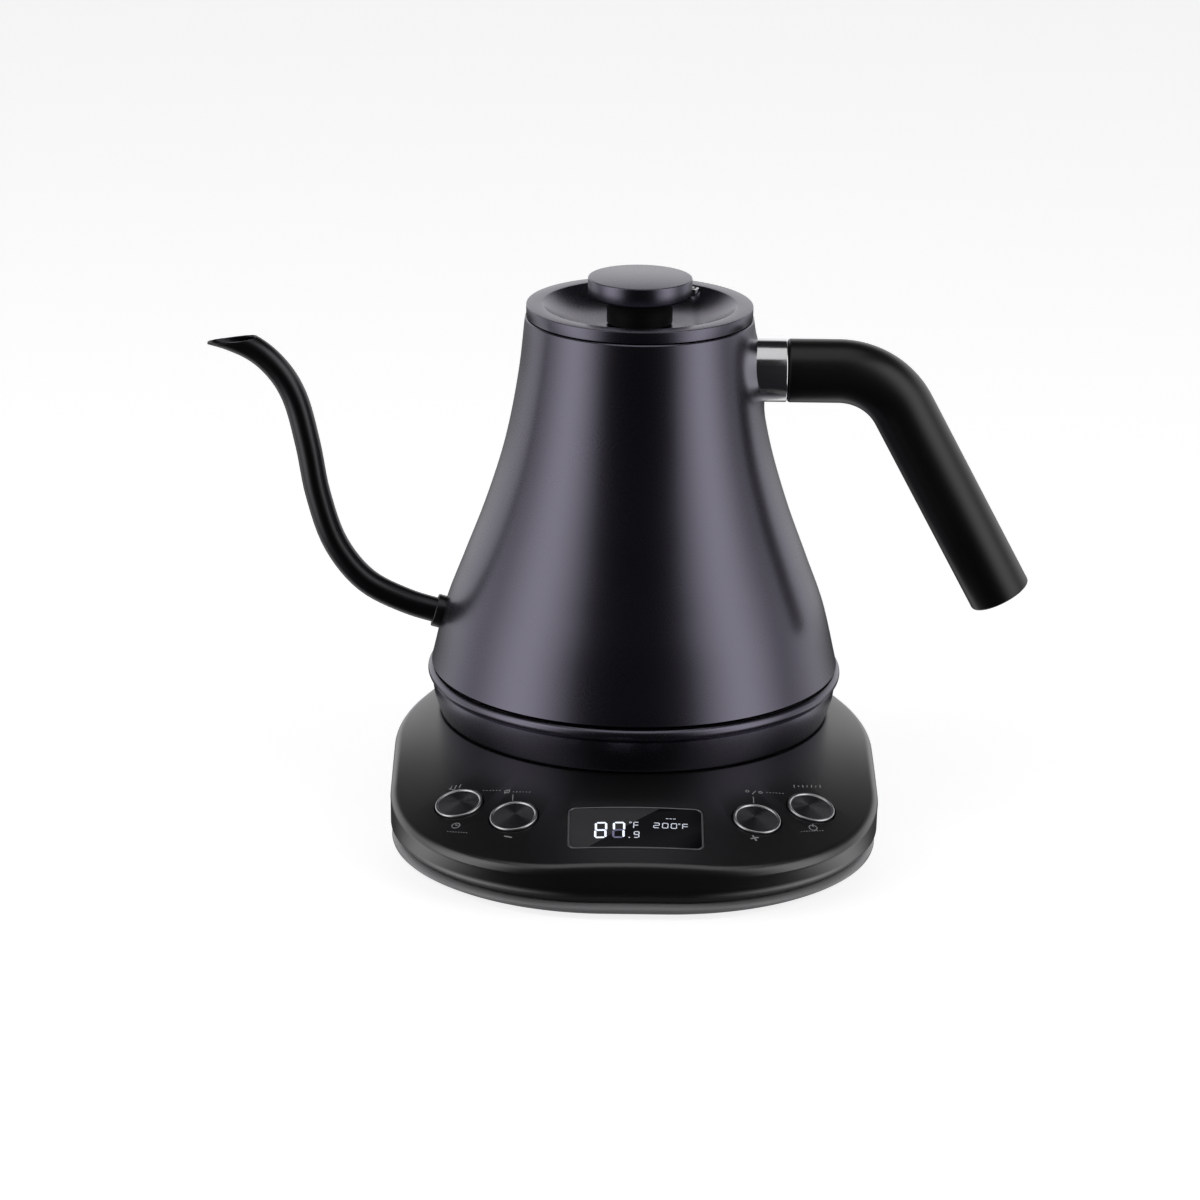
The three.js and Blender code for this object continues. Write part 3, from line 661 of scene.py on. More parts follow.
bend = arc((GRIP_CORNER[0] - reach, HANDLE_Z - GRIP_BEND), GRIP_BEND, 90, GRIP_LEAN, 20)
leg = [on_leg((reach + GRIP_LEG) / 2), on_leg(GRIP_LEG)]
grip_route = [(SLEEVE_END + 0.3, HANDLE_Z), (56, HANDLE_Z), *bend, *leg]

# %% Grip
END_WALL, END_DEPTH = 2.2, 3.0
grip = swept("handle_grip_tube", grip_route, GRIP_RADIUS, 72, True)
down_leg = Vector((math.sin(lean), 0, -math.cos(lean)))
bpy.ops.mesh.inset(thickness=END_WALL * MM)
bpy.ops.mesh.extrude_region_move(TRANSFORM_OT_translate={"value": down_leg * -END_DEPTH * MM})
face_outwards()
soften(grip, 0.9, 4, 50)
finish(grip, "kettle", ["handle_grip"], "grip_plastic", grip_plastic)

# %% End cap and its screw
leg_end = along(on_leg(GRIP_LEG), on_leg(GRIP_LEG + 1))
section = [(2.3, -2.7), (8.4, -2.7), (8.4, -0.2), (4.2, -0.2), (4.2, -1.6), (2.3, -1.6)]
end_cap = turned("handle_end_disc", [*section, section[0]], 64)
soften(end_cap, 0.25)
put(end_cap, leg_end)
finish(end_cap, "kettle", ["handle_end_cap"], "satin_plastic", shell_plastic)


def cross_screw(name, head_radius, head_top, seat, shank_radius, tip, place, socket_width=0.9):
    """A pan-head screw that points down its own -Z, with a cross cut in the head."""
    section = [(0, tip), (shank_radius * 0.6, tip + 0.5), (shank_radius, tip + 1.4)]
    section += [(shank_radius, seat), (head_radius, seat), (head_radius, head_top - 0.35)]
    section += [(head_radius - 0.5, head_top), (0, head_top)]
    screw = turned(name, section, 32)
    for quarter in (0, 90):
        select_only(None)
        bpy.ops.mesh.primitive_cube_add(size=2 * MM, location=(0, 0, head_top * MM))
        slot = bpy.context.object
        slot.scale = (head_radius * 0.6, socket_width / 2, 0.7)
        slot.rotation_euler.z = math.radians(quarter)
        cut(screw, slot)
    put(screw, place)
    return screw


end_screw = cross_screw("handle_end_fixing", 3.6, -0.3, -1.3, 1.6, -17, leg_end)
finish(end_screw, "kettle", ["handle_end_screw"], "stainless", stainless)

# %% [markdown]
# ## Lid
# The lid is a shallow pressed dish with a flat outer ring. Its edge drops over the rim of the body
# with a hair of a gap. A silicone ring on the liner below holds it by friction. A small bright
# grommet at the back lets the steam out.

# %% Lid dish
LID_RADIUS, LID_RIM, RING_INNER, DISH_FLOOR, SHEET = 39, 175.5, 33.6, 172.9, 1.0
SCREW_HOLE = 1.9
dish_points = [(RING_INNER, lid_top), (30, 177.2), (24, 174.5), (16, DISH_FLOOR)]
dish = flowing([*dish_points, (SCREW_HOLE, DISH_FLOOR)], 8)
under_dish = [(r - 0.2, z - SHEET) for r, z in reversed(dish[:-1])]
section = [*dish, (SCREW_HOLE, DISH_FLOOR - SHEET), *under_dish, (LID_RADIUS - SHEET, lid_top - SHEET)]
section += [(LID_RADIUS - SHEET, LID_RIM), (LID_RADIUS, LID_RIM), (LID_RADIUS, lid_top), dish[0]]
lid = turned("lid_dish_pressing", section, 160)
soften(lid, 0.3, 3, 25)
VENT = at(18.8, 25)
cut(lid, turned("vent_hole", disc(2.6, 165, 185), 32, VENT))
finish(lid, "lid", ["lid_dish"], "kettle_paint", kettle_paint)

# %% Steam grommet
section = [(1.2, 174.8), (2.2, 174.8), (2.2, 178.8), *arc((1.9, 178.9), 0.3, 0, 90, 4)]
section += [(1.5, 179.2), (1.2, 178.9), (1.2, 174.8)]
vent = turned("lid_vent_grommet", section, 48, VENT)
finish(vent, "lid", ["lid_vent"], "chrome", chrome)

# %% Knob: a lacquered disc on a black post
DISC_THICKNESS, POST_RADIUS, THREAD_HOLE = 6.7, 11.3, 1.8
under = knob_top - DISC_THICKNESS
post_foot = DISH_FLOOR + 0.3
flare = [(13.6, under), (12, under - 1.2), (11.4, under - 3.4), (POST_RADIUS, under - 6)]
section = [(0, knob_top), (knob_radius, knob_top), (knob_radius, under + 0.5)]
section += [(knob_radius - 0.9, under), *flowing(flare, 4), (POST_RADIUS, post_foot)]
section += [(THREAD_HOLE, post_foot), (THREAD_HOLE, under + 1.6), (0, under + 1.6)]
knob = turned("lid_knob_disc", section, 128)
soften(knob, 0.45, 4, 40)
finish(knob, "lid", ["lid_knob"], "kettle_paint", kettle_paint, post_plastic)
for face in knob.data.polygons:
    if face.center.z < (under - 0.05) * MM:
        face.material_index = 1

# %% Liner, seal and knob screw under the lid
LINER_BOTTOM, LINER_RADIUS = 163, 34.2
section = [(SCREW_HOLE, LINER_BOTTOM), (33, LINER_BOTTOM), (LINER_RADIUS, 164), (LINER_RADIUS, 167.6)]
section += [(32.6, 167.6), (32.6, 171.4), (LINER_RADIUS, 171.4), (LINER_RADIUS, 174.4)]
section += [(31.5, 174.4), (28, 171.4), (SCREW_HOLE, 171.4), (SCREW_HOLE, LINER_BOTTOM)]
liner = turned("lid_liner_cup", section, 96)
soften(liner, 0.3)
cut(liner, turned("steam_way", disc(1.6, 160, 180), 24, VENT))
finish(liner, "lid", ["lid_liner"], "inner_plastic", inner_plastic)
section = [(33, 168), *arc((33.6, 169.5), 1.6, -70, 70, 10), (33, 171), (33, 168)]
seal = turned("lid_seal_ring", section, 96)
finish(seal, "lid", ["lid_seal"], "silicone", silicone)
head_seat = LINER_BOTTOM - 0.3
shank = under + 1 - head_seat
lid_screw = cross_screw("lid_knob_fixing", 3.8, 2.1, 0, 1.4, -shank, flipped(at(0, 0, head_seat)))
finish(lid_screw, "lid", ["lid_knob_screw"], "stainless", stainless)

# %% [markdown]
# ## Kettle foot
# Below the cone sits a moulded ring. Its top is a round bead with a groove above and below it,
# which read as two dark lines. Inside are the heater plate, the coupler cup and a bottom cover.

# %% Skirt with its bead
BEAD_Z, BEAD_RADIUS = 47.9, 2.0
SCREW_ANGLES, SCREW_CIRCLE = (90, 210, 330), 61
skirt_bottom = lowest("skirt_ring").z
bead = arc((70.5, BEAD_Z), BEAD_RADIUS, -72, 84, 14)
section = [(66, skirt_bottom), (68.2, skirt_bottom), (70.3, 40), (71.1, 45.2), (70.5, 45.7), *bead]
section += [(70.3, BEAD_Z + 2), (68.2, BEAD_Z + 2), (68.2, 40), (66, 37), (66, skirt_bottom)]
skirt = turned("skirt_with_bead", section, 180)
for angle in SCREW_ANGLES:
    boss = turned("boss", ring(1.7, 4.2, 36.6, 46), 24, around(angle, SCREW_CIRCLE))
    rib = turned("rib", disc(2.4, 38.2, 45), 16, around(angle, 66.3))
    cut(skirt, rib, "UNION")
    cut(skirt, boss, "UNION")
finish(skirt, "kettle", ["skirt_ring"], "kettle_paint", kettle_paint, inner_plastic)
paint_inside(skirt, 1)

# %% Heater plate
section = [(0, 50.4), (69.4, 50.4), (69.4, 51.6), (66, 51.6), (64.5, 51.9), (62, 51.75), (0, 51.75)]
plate_steel = circle_brushed("plate_steel", (0.6, 0.59, 0.57), 0.3, 0.9)
plate = turned("heating_plate_disc", section, 128)
finish(plate, "kettle", ["heating_plate"], "stainless", plate_steel)

# %% Coupler cup and bottom cover
CUP_ROOF = 42.3
section = [(0, 34), (2.1, 34.6), (2.1, CUP_ROOF), (9, CUP_ROOF), (9, 33.4), (10, 33.4)]
section += [(10, CUP_ROOF), (21, CUP_ROOF), (21, 34.2), (24, 34.2), (24, 43.4), (22, 45.4), (0, 45.4)]
cup = turned("coupler_cup", section, 96)
soften(cup, 0.3)
finish(cup, "coupler", ["kettle_coupler"], "inner_plastic", inner_plastic)

COVER_GROOVES, COVER_BOTTOM, GROOVE = [(30, 33), (40, 43), (50, 53)], 34.2, 0.5
section = [(24.4, COVER_BOTTOM)]
for start, end in COVER_GROOVES:
    section += [(start, COVER_BOTTOM), (start + GROOVE, COVER_BOTTOM + GROOVE)]
    section += [(end - GROOVE, COVER_BOTTOM + GROOVE), (end, COVER_BOTTOM)]
section += [(65.6, COVER_BOTTOM), (65.6, 36.2), (24.4, 36.2), (24.4, COVER_BOTTOM)]
kettle_cover = turned("kettle_bottom_plate", section, 128)
SINK = [(0, 30), (3.2, 30), (3.2, 35.4), (1.8, 35.4), (1.8, 40), (0, 40)]
for number, angle in enumerate(SCREW_ANGLES, 1):
    spot = around(angle, SCREW_CIRCLE)
    cut(kettle_cover, turned("sink", SINK, 32, spot))
    place = flipped(spot @ at(0, 0, 35.1))
    screw = cross_screw(f"kettle_foot_fixing_{number}", 2.8, 0.8, 0, 1.3, -8.5, place, 0.7)
    finish(screw, "kettle", [f"kettle_screw_{number}"], "stainless", stainless)
finish(kettle_cover, "kettle", ["kettle_bottom_cover"], "inner_plastic", inner_plastic)

# %% [markdown]
# ## Power base
# The top of the base is one cone about the kettle's axis, so it falls gently towards the panel.
# Its outline is a rounded square whose back follows the kettle. The outline is drawn once as a
# closed line and extruded level by level, and each new level is set on its own outline.

# %% Outline of the base
HALF_WIDTH, FRONT, BACK_RADIUS, FLANK_CENTRE = 83.3, 117.5, 74, 22
CONE_TOP, CONE_SLOPE, SEAT_RADIUS = 53.2, 0.2896, 69
OUTLINE_POINTS = 240


def cone(x, y):
    """Height of the conical top."""
    return CONE_TOP - CONE_SLOPE * math.hypot(x, y)


def evenly(points, count):
    """Points spaced evenly along a closed line."""
    loop = [Vector(p) for p in points] + [Vector(points[0])]
    steps = [(b - a).length for a, b in zip(loop, loop[1:])]
    spacing = sum(steps) / count
    spaced, walked, wanted = [], 0, 0
    for a, b, step in zip(loop, loop[1:], steps):
        while wanted < walked + step - 1e-9 and len(spaced) < count:
            spaced.append(a.lerp(b, (wanted - walked) / step))
            wanted += spacing
        walked += step
    return spaced


def base_plan(corner_radius, inset):
    """The outline, its corners at a radius, moved in by an inset. It starts mid-front."""
    side, front, back = HALF_WIDTH - inset, FRONT - inset, BACK_RADIUS - inset
    corner = corner_radius - inset
    twist = math.degrees(math.asin((side - back) / FLANK_CENTRE))
    right = arc((side - corner, corner - front), corner, -90, 0, 60)
    right += arc((0, -FLANK_CENTRE), side, 0.01, twist, 12)
    back_line = arc((0, 0), back, twist + 0.5, 179.5 - twist, 90)
    left = [(-x, y) for x, y in reversed(right)]
    return evenly([(0, -front), *right, *back_line, *left], OUTLINE_POINTS)


def flat_level(corner_radius, inset, z):
    return [(p.x, p.y, z) for p in base_plan(corner_radius, inset)]


def cone_level(corner_radius, inset, drop):
    return [(p.x, p.y, cone(p.x, p.y) - drop) for p in base_plan(corner_radius, inset)]


def circle_level(radius, z, corner_radius=60):
    """A circle whose points lie in line with the outline's, as seen from the axis."""
    plan = [p.normalized() * radius for p in base_plan(corner_radius, 0)]
    return [(p.x, p.y, z) for p in plan]


# %% Extruding an outline level by level
def lofted(name, levels):
    """An open skin over closed lines. It ends with the last line selected, in edit mode."""
    piece = start_point(name)
    draw_line(levels[0])
    bpy.ops.mesh.select_all(action="SELECT")
    bpy.ops.mesh.edge_face_add()
    bpy.ops.mesh.delete(type="ONLY_FACE")
    bpy.ops.mesh.select_all(action="SELECT")
    for below, above in zip(levels, levels[1:]):
        bpy.ops.mesh.extrude_region_move()
        bpy.ops.object.mode_set(mode="OBJECT")
        goes_to = {tuple(round(c, 3) for c in p): q for p, q in zip(below, above)}
        for vertex in (v for v in piece.data.vertices if v.select):
            old = tuple(round(c, 3) for c in vertex.co / MM)
            vertex.co = Vector(goes_to[nearest(old, goes_to)]) * MM
        bpy.ops.object.mode_set(mode="EDIT")
    return piece


def nearest(place, places):
    return place if place in places else min(places, key=lambda p: math.dist(p, place))


# %% Top shell
SHELL_WALL, SHOULDER = 2.2, 2.4
SOCKET_HOLE = 20.6
shoulder = arc((SHOULDER, 0), SHOULDER, 180, 90, 8)
seat_z = cone(SEAT_RADIUS, 0)
UNDERCUT = [(70, 2.6, 5.3), (67.5, 1.6, 7), (65, 0.6, 9), (63.4, 0.1, 10.4), (63, 0, 11.2)]
levels = [flat_level(*level) for level in UNDERCUT]
levels += [cone_level(61, 0, SHOULDER + 0.8)]
levels += [cone_level(60, inset, SHOULDER - rise) for inset, rise in shoulder]
levels += [cone_level(60, SHOULDER + 0.3, 0)]
levels += [circle_level(SEAT_RADIUS + 0.5, cone(SEAT_RADIUS + 0.5, 0))]
for radius in (SEAT_RADIUS - 0.3, SEAT_RADIUS - 4, SOCKET_HOLE):
    levels += [circle_level(radius, seat_z - 0.2)]
shell = lofted("base_top_moulding", levels)
face_outwards()
print("shell outline", OUTLINE_POINTS, "points,", len(levels), "levels")

# %% [markdown]
# ## Holes in the panel
# Each hole is bored square to the sloping top. The cutter is a turned plug that widens at the
# surface, so the same cut leaves the small chamfer that a moulded hole has. The window's seat is
# cut by a slab that follows the cone.

# %% Places on the panel
BUTTON_CIRCLE = 97.5
BUTTON_ANGLES = {"hold": -37.5, "minus": -24.65, "plus": 24.65, "start": 37.5}
BUTTON_RADIUS, BUTTON_HOLE, BUTTON_PROUD = 8.1, 8.6, 0.8
TILT = math.atan(CONE_SLOPE)


def on_panel(radius, degrees):
    """A place on the conical top whose own Z points straight out of it."""
    spin = Matrix.Rotation(math.radians(degrees), 4, "Z")
    out = Matrix.Translation(Vector((0, -radius, cone(radius, 0))) * MM)
    return spin @ out @ Matrix.Rotation(TILT, 4, "X")


button_places = {name: on_panel(BUTTON_CIRCLE, angle) for name, angle in BUTTON_ANGLES.items()}

# %% Window slab
WINDOW_WIDTH, WINDOW_HEIGHT, WINDOW_CORNER, WINDOW_Y = 43.8, 21, 2, -97
window_place = on_panel(-WINDOW_Y, 0)


def window_layer(name, margin, above, below):
    """The window's outline, grown by a margin, cut to a layer under the conical top."""
    select_only(None)
    bpy.ops.mesh.primitive_plane_add(size=1)
    layer = bpy.context.object
    layer.name = name
    bpy.ops.object.mode_set(mode="EDIT")
    size = ((WINDOW_WIDTH + 2 * margin) * MM, (WINDOW_HEIGHT + 2 * margin) * MM, 1)
    bpy.ops.transform.resize(value=size)
    bpy.ops.mesh.bevel(offset=(WINDOW_CORNER + margin) * MM, segments=8, affect="VERTICES")
    bpy.ops.transform.translate(value=(0, 0, -9 * MM))
    bpy.ops.mesh.extrude_region_move(TRANSFORM_OT_translate={"value": (0, 0, 15 * MM)})
    face_outwards()
    put(layer, window_place)
    near, far = 76, 118
    top, bottom = [[(r, cone(r, 0) - depth) for r in (near, far)] for depth in (above, below)]
    cut(layer, turned("slab", [*bottom, *reversed(top), bottom[0]], 360), "INTERSECT")
    return layer


# %% Cut the shell
modify(shell, "SOLIDIFY", thickness=SHELL_WALL * MM, offset=-1, use_even_offset=True)
CHAMFER = 0.15
plug = [(0, -8), (BUTTON_HOLE, -8), (BUTTON_HOLE, -CHAMFER), (BUTTON_HOLE + CHAMFER, 0)]
plug += [(BUTTON_HOLE + CHAMFER, 4), (0, 4)]
for place in button_places.values():
    cut(shell, turned("plug", plug, 72, place))
cut(shell, window_layer("window_seat", 1.0, -4, 6))
GLAND_Z = 17
backwards = Matrix.Rotation(-math.pi / 2, 4, "X")
cut(shell, turned("lead_hole", disc(5.5, 0, 20), 48, at(0, 60, GLAND_Z) @ backwards))
finish(shell, "power_base", ["base_top_shell"], "satin_plastic", shell_plastic, angle=40)

# %% [markdown]
# ## Bottom cover
# A shallow glossy tray closes the base. Its lip shows as a thin bright line under a dark
# undercut, and the tray's mid grey is a painted reflection of the pale table. Underneath are four
# rubber feet, a rest pad and four sunk screws.
# The tray is lofted like the shell, from its flat bottom out over the lip and back in.

# %% Tray
TRAY_BOTTOM = 1.8
LIP = [(0.2, 2.5), (0, 3.1), (0.05, 3.7), (0.5, 4.3), (1.3, 4.8), (2.4, 5.0), (5.2, 5.0), (5.2, 3.6)]
levels = [flat_level(74, 1.4, TRAY_BOTTOM), flat_level(73, 0.7, 2.0)]
levels += [flat_level(72, inset, z) for inset, z in LIP]
tray = lofted("base_tray", levels)
bpy.ops.mesh.edge_face_add()
bpy.ops.object.mode_set(mode="OBJECT")
for edge in tray.data.edges:
    ends = [tray.data.vertices[i].co.z for i in edge.vertices]
    edge.select = max(ends) < (TRAY_BOTTOM + 0.01) * MM
bpy.ops.object.mode_set(mode="EDIT")
bpy.ops.mesh.select_mode(type="EDGE")
bpy.ops.mesh.edge_face_add()
bpy.ops.mesh.select_mode(type="VERT")
face_outwards()

# %% Feet, screws and the pad
def corners(front, back):
    """Four named places, mirrored left and right, from a front and a back one."""
    places = {}
    for row, (x, y) in {"front": front, "back": back}.items():
        places[f"{row}_left"] = (-x, y)
        places[f"{row}_right"] = (x, y)
    return places


FEET = corners((58, -76), (44, 46))
CASE_SCREWS = corners((72, -35), (60, 22))
cut(tray, turned("pad", [(0, 1.5), (14.5, 1.5), (15, 2), (15, 3), (0, 3)], 64), "UNION")
for corner, (x, y) in FEET.items():
    cut(tray, turned("foot_sink", disc(7.4, 0, 2.4), 48, at(x, y)))
    section = [(0, 0.3), (4.4, 0.3), (4.7, 0), (6.6, 0), *arc((6.6, 0.4), 0.4, -90, 0, 4)]
    section += [(7, 2.1), (0, 2.1)]
    foot = turned(f"rubber_foot_{corner}", section, 48, at(x, y))
    finish(foot, "power_base", [f"foot_{corner}"], "rubber", rubber)
SINK = [(0, 0), (3.2, 0), (3.2, 3.8), (1.8, 3.8), (1.8, 8), (0, 8)]
for corner, (x, y) in CASE_SCREWS.items():
    cut(tray, turned("screw_sink", SINK, 32, at(x, y)))
    place = flipped(at(x, y, 3.7))
    screw = cross_screw(f"base_fixing_{corner}", 2.8, 1.5, 0, 1.4, -13, place, 0.7)
    finish(screw, "power_base", [f"base_screw_{corner}"], "stainless", stainless)
# The tray takes the mid grey that paints the table's reflection on its lip.
finish(tray, "power_base", ["base_bottom_cover"], "gloss_plastic", tray_painted_reflection)

# %% [markdown]
# ## Socket and lead gland
# The kettle drops over a round socket with a centre pin and a ring contact, so it can stand at any
# angle. The lead's gland is a ribbed rubber sleeve in the back wall.

# %% Socket
BARREL, FLANGE, SOCKET_TOP = 20, 25, 41.5
under_seat = seat_z - SHELL_WALL - 0.5
section = [(0, 15), (BARREL - 3, 15), (BARREL - 3, 24), (FLANGE, 24), (FLANGE, under_seat)]
section += [(BARREL, under_seat), (BARREL, SOCKET_TOP - 1), (BARREL - 1, SOCKET_TOP)]
section += [(11, SOCKET_TOP), (11, 31), (8, 31), (8, SOCKET_TOP)]
section += [(3.4, SOCKET_TOP), (2.7, SOCKET_TOP - 0.8), (2.7, 30), (0, 30)]
socket = turned("base_socket_barrel", section, 96)
soften(socket, 0.3)
finish(socket, "power_base", ["base_socket"], "gloss_plastic", gloss_plastic)

# %% Gland
BORE, NECK, FLANGES = 3.4, 5.2, 6.6
inner_face = BACK_RADIUS - SHELL_WALL - 0.8
outer_face = BACK_RADIUS + 0.3
section = [(BORE, 64), (FLANGES, 64), (FLANGES, inner_face), (NECK, inner_face)]
section += [(NECK, outer_face), (FLANGES, outer_face), (FLANGES, outer_face + 0.6)]
section += [(6.2, outer_face + 1.1), (3.6, outer_face + 1.2), (BORE, outer_face + 1), (BORE, 64)]
gland = turned("lead_gland", section, 64, at(0, 0, GLAND_Z) @ backwards)
finish(gland, "power_base", ["cord_gland"], "rubber", rubber)

# %% [markdown]
# ## Buttons
# The four buttons are turned metal caps. The face is slightly dished and cut in fine rings, which
# is what makes light and dark wedges turn about the centre. A polished chamfer runs round the rim.
# One cap is drawn, and the others are copies, each with its own mesh and its own finish.

# %% Button caps
chamfer_steel = brushed("chamfer_steel", (0.6, 0.6, 0.61), 0.3)
FACE_RADIUS = BUTTON_RADIUS - 1.1
RING_FOOT = BUTTON_PROUD - 0.52
rim = arc((BUTTON_RADIUS - 0.5, BUTTON_PROUD - 0.5), 0.5, 0, 150, 8)
section = [(0, -8.2), (1.6, -8.2), (1.6, -5.2), (9.6, -5.2), (9.6, -4), (BUTTON_RADIUS, -4), *rim]
section += [(FACE_RADIUS, BUTTON_PROUD - 0.36), (5, BUTTON_PROUD - 0.38), (2.5, BUTTON_PROUD - 0.4)]
section += [(0, BUTTON_PROUD - 0.41)]
first_cap = turned("cap", section, 96)


def cap_material(face):
    """0 for the polished ring, 1 for the spun face, 2 for what lies below them."""
    if face.center.xy.length < (FACE_RADIUS + 0.01) * MM and face.normal.z > 0.5:
        return 1
    return 2 if face.center.z < RING_FOOT * MM else 0


cap_materials = [cap_material(face) for face in first_cap.data.polygons]
for name, place in button_places.items():
    cap = first_cap.copy()
    cap.data = first_cap.data.copy()
    cap.name = f"button_cap_{name}"
    bpy.context.scene.collection.objects.link(cap)
    put(cap, place)
    face_steel = circle_brushed(f"spun_{name}", (0.2, 0.2, 0.21), 0.3, 0.32, place)
    stuffs = (chamfer_steel, face_steel, inner_plastic)
    finish(cap, f"{name}_button", [f"button_{name}"], "spun_metal", *stuffs)
    for face, index in zip(cap.data.polygons, cap_materials):
        face.material_index = index
bpy.data.objects.remove(first_cap)

# %% [markdown]
# ## Display
# A smoked window lies almost flush in the panel inside a thin bright frame. Its figures are made
# of seven bars each: the lit ones glow a cold white, and the unlit ones carry a faint painted glow so
# that they are just visible.
# A figure is drawn from flat bars, laid on the window and given a little thickness.

# %% Window and frame
WINDOW_SINK = 0.2
# Where the painted reflection on the window ends, and how its edge slants.
GLARE_EDGE, GLARE_LEAN = -111.3, 1.19


def smoked_glass():
    """Black glass with a painted reflection: a paler glare over its upper left corner, as far as a
    slanting edge.
    """
    paint = Paint("smoked_glass", (0.003, 0.003, 0.0035), 0.06)
    x, y = paint.axis("X") / MM, paint.axis("Y") / MM
    # Painted reflection: a paler grey over the upper left corner, up to a slanting edge.
    slant = y * GLARE_LEAN - x - GLARE_EDGE
    painted_glare = paint.step(slant, -0.15, 0.15) * paint.step(paint.noise(9), 0.0, 0.2)
    smear = paint.noise(14, 3.0)
    paint.set(Base_Color=paint.mix(painted_glare, (0.002, 0.002, 0.0025), (0.05, 0.05, 0.052)))
    paint.set(Roughness=0.05 + smear * 0.05, Specular_IOR_Level=0.3)
    paint.bump(smear, 0.01, 0.1)
    return paint.material


window = window_layer("display_glass", 0, WINDOW_SINK, 1.6)
finish(window, "power_base", ["display_window"], "display_glass", smoked_glass())
frame_ring = window_layer("display_frame", 0.7, -0.04, 1.6)
cut(frame_ring, window_layer("inside", 0.12, -1, 3))
soften(frame_ring, 0.2, 3, 50)
finish(frame_ring, "power_base", ["display_bezel"], "chrome", chamfer_steel)

# %% Flat strokes
lit = glowing("lit_segment", (0.82, 0.88, 1.0), 1.1)
dim = glowing("dim_segment", (0.8, 0.85, 0.95), 0.5)
# The unlit bars are no lamp: their faint glow is painted, so that they are just visible.
unlit = glowing("unlit_segment_painted_glow", (0.2, 0.2, 0.32), 0.35)


def add_bar(x, y, length, width, degrees=0.0, point=0.0):
    """Add a flat bar to the mesh being edited. point is how far its ends are chamfered."""
    bpy.ops.mesh.primitive_plane_add(size=1)
    bpy.ops.transform.resize(value=(length * MM, width * MM, 1))
    if point:
        bpy.ops.mesh.bevel(offset=point * MM, segments=1, affect="VERTICES")
    turn = -math.radians(degrees)
    bpy.ops.transform.rotate(value=turn, orient_axis="Z", center_override=(0, 0, 0))
    bpy.ops.transform.translate(value=(x * MM, y * MM, 0))


def add_ring(x, y, radius, width, sides=32):
    """Add a flat ring to the mesh being edited."""
    bpy.ops.mesh.primitive_circle_add(vertices=sides, radius=radius * MM, fill_type="NGON")
    bpy.ops.mesh.inset(thickness=width * MM)
    bpy.ops.mesh.delete(type="FACE")
    bpy.ops.object.mode_set(mode="OBJECT")
    piece = bpy.context.object
    for vertex in piece.data.vertices:
        vertex.select = vertex.co.xy.length < (radius + 0.01) * MM
    bpy.ops.object.mode_set(mode="EDIT")
    bpy.ops.transform.translate(value=(x * MM, y * MM, 0))


def flat_piece(name, strokes):
    """One mesh of many strokes. Rings come first, while nothing else lies at the origin."""
    select_only(None)
    piece = bpy.data.objects.new(name, bpy.data.meshes.new(name))
    bpy.context.scene.collection.objects.link(piece)
    select_only(piece)
    bpy.ops.object.mode_set(mode="EDIT")
    for add, sizes in sorted(strokes, key=lambda s: s[0] is add_bar):
        add(*sizes)
    bpy.ops.mesh.select_all(action="SELECT")
    bpy.ops.object.mode_set(mode="OBJECT")
    return piece


def press_on(piece, sink, thickness):
    """Lay a flat piece, drawn in plan, on the conical top, and give it a thickness."""
    for vertex in piece.data.vertices:
        x, y = vertex.co.x / MM, vertex.co.y / MM
        vertex.co.z = (cone(x, y) - sink) * MM
    modify(piece, "SOLIDIFY", thickness=thickness * MM, offset=1)


# %% Seven-bar figures
BARS = {"a": (0, 1, 0), "g": (0, 0, 0), "d": (0, -1, 0)}
BARS |= {"f": (-1, 0.5, 90), "b": (1, 0.5, 90), "e": (-1, -0.5, 90), "c": (1, -0.5, 90)}
SLANT = 0.06


def figure(bars, x, y, width, height, stroke):
    """The strokes of one figure in plan, about its centre."""
    strokes = []
    for bar in bars:
        across, up, degrees = BARS[bar]
        length = (width if degrees == 0 else height / 2) - stroke * 0.5
        place_y = up * height / 2
        place_x = x + across * width / 2 + place_y * SLANT
        strokes.append((add_bar, (place_x, y + place_y, length, stroke, degrees, stroke * 0.42)))
    return strokes


LARGE = {"width": 3.4, "height": 7.6, "stroke": 0.72}
SMALL = {"width": 1.6, "height": 3.0, "stroke": 0.34}
MIDDLE = {"width": 1.8, "height": 2.5, "stroke": 0.3}
LARGE_Y, UPPER_Y, LOWER_Y, RIGHT_Y = -98.2, -95.7, -100.6, -95.6
large_strokes = figure("abcdefg", -11.6, LARGE_Y, **LARGE) + figure("abcf", -5.6, LARGE_Y, **LARGE)
small_strokes = figure("aefg", 0.2, UPPER_Y, **SMALL) + figure("abcdfg", 0.3, LOWER_Y, **SMALL)
small_strokes += figure("abged", 7.0, RIGHT_Y, **MIDDLE) + figure("abcdef", 9.9, RIGHT_Y, **MIDDLE)
small_strokes += figure("abcdef", 12.8, RIGHT_Y, **MIDDLE) + figure("aefg", 16.6, RIGHT_Y, **MIDDLE)
small_strokes += [(add_bar, (-2.1, LOWER_Y - 1.5, 0.45, 0.45))]
small_strokes += [(add_ring, (-1.7, UPPER_Y + 1.4, 0.4, 0.16, 16))]
small_strokes += [(add_ring, (14.6, RIGHT_Y + 1.1, 0.36, 0.15, 16))]
for x in (10.6, 11.8, 13.0):
    small_strokes += [(add_bar, (x, -91.9, 0.8, 0.25))]
sets = {"display_figures": (large_strokes, lit), "display_small_figures": (small_strokes, dim)}
# The unlit bars of the large figures, with their painted glow.
sets["display_unlit_bars"] = (figure("deg", -5.6, LARGE_Y, **LARGE), unlit)
for name, (strokes, material) in sets.items():
    figures = flat_piece(name, strokes)
    press_on(figures, WINDOW_SINK - 0.01, 0.03)
    finish(figures, "power_base", [], "display_glass", material)

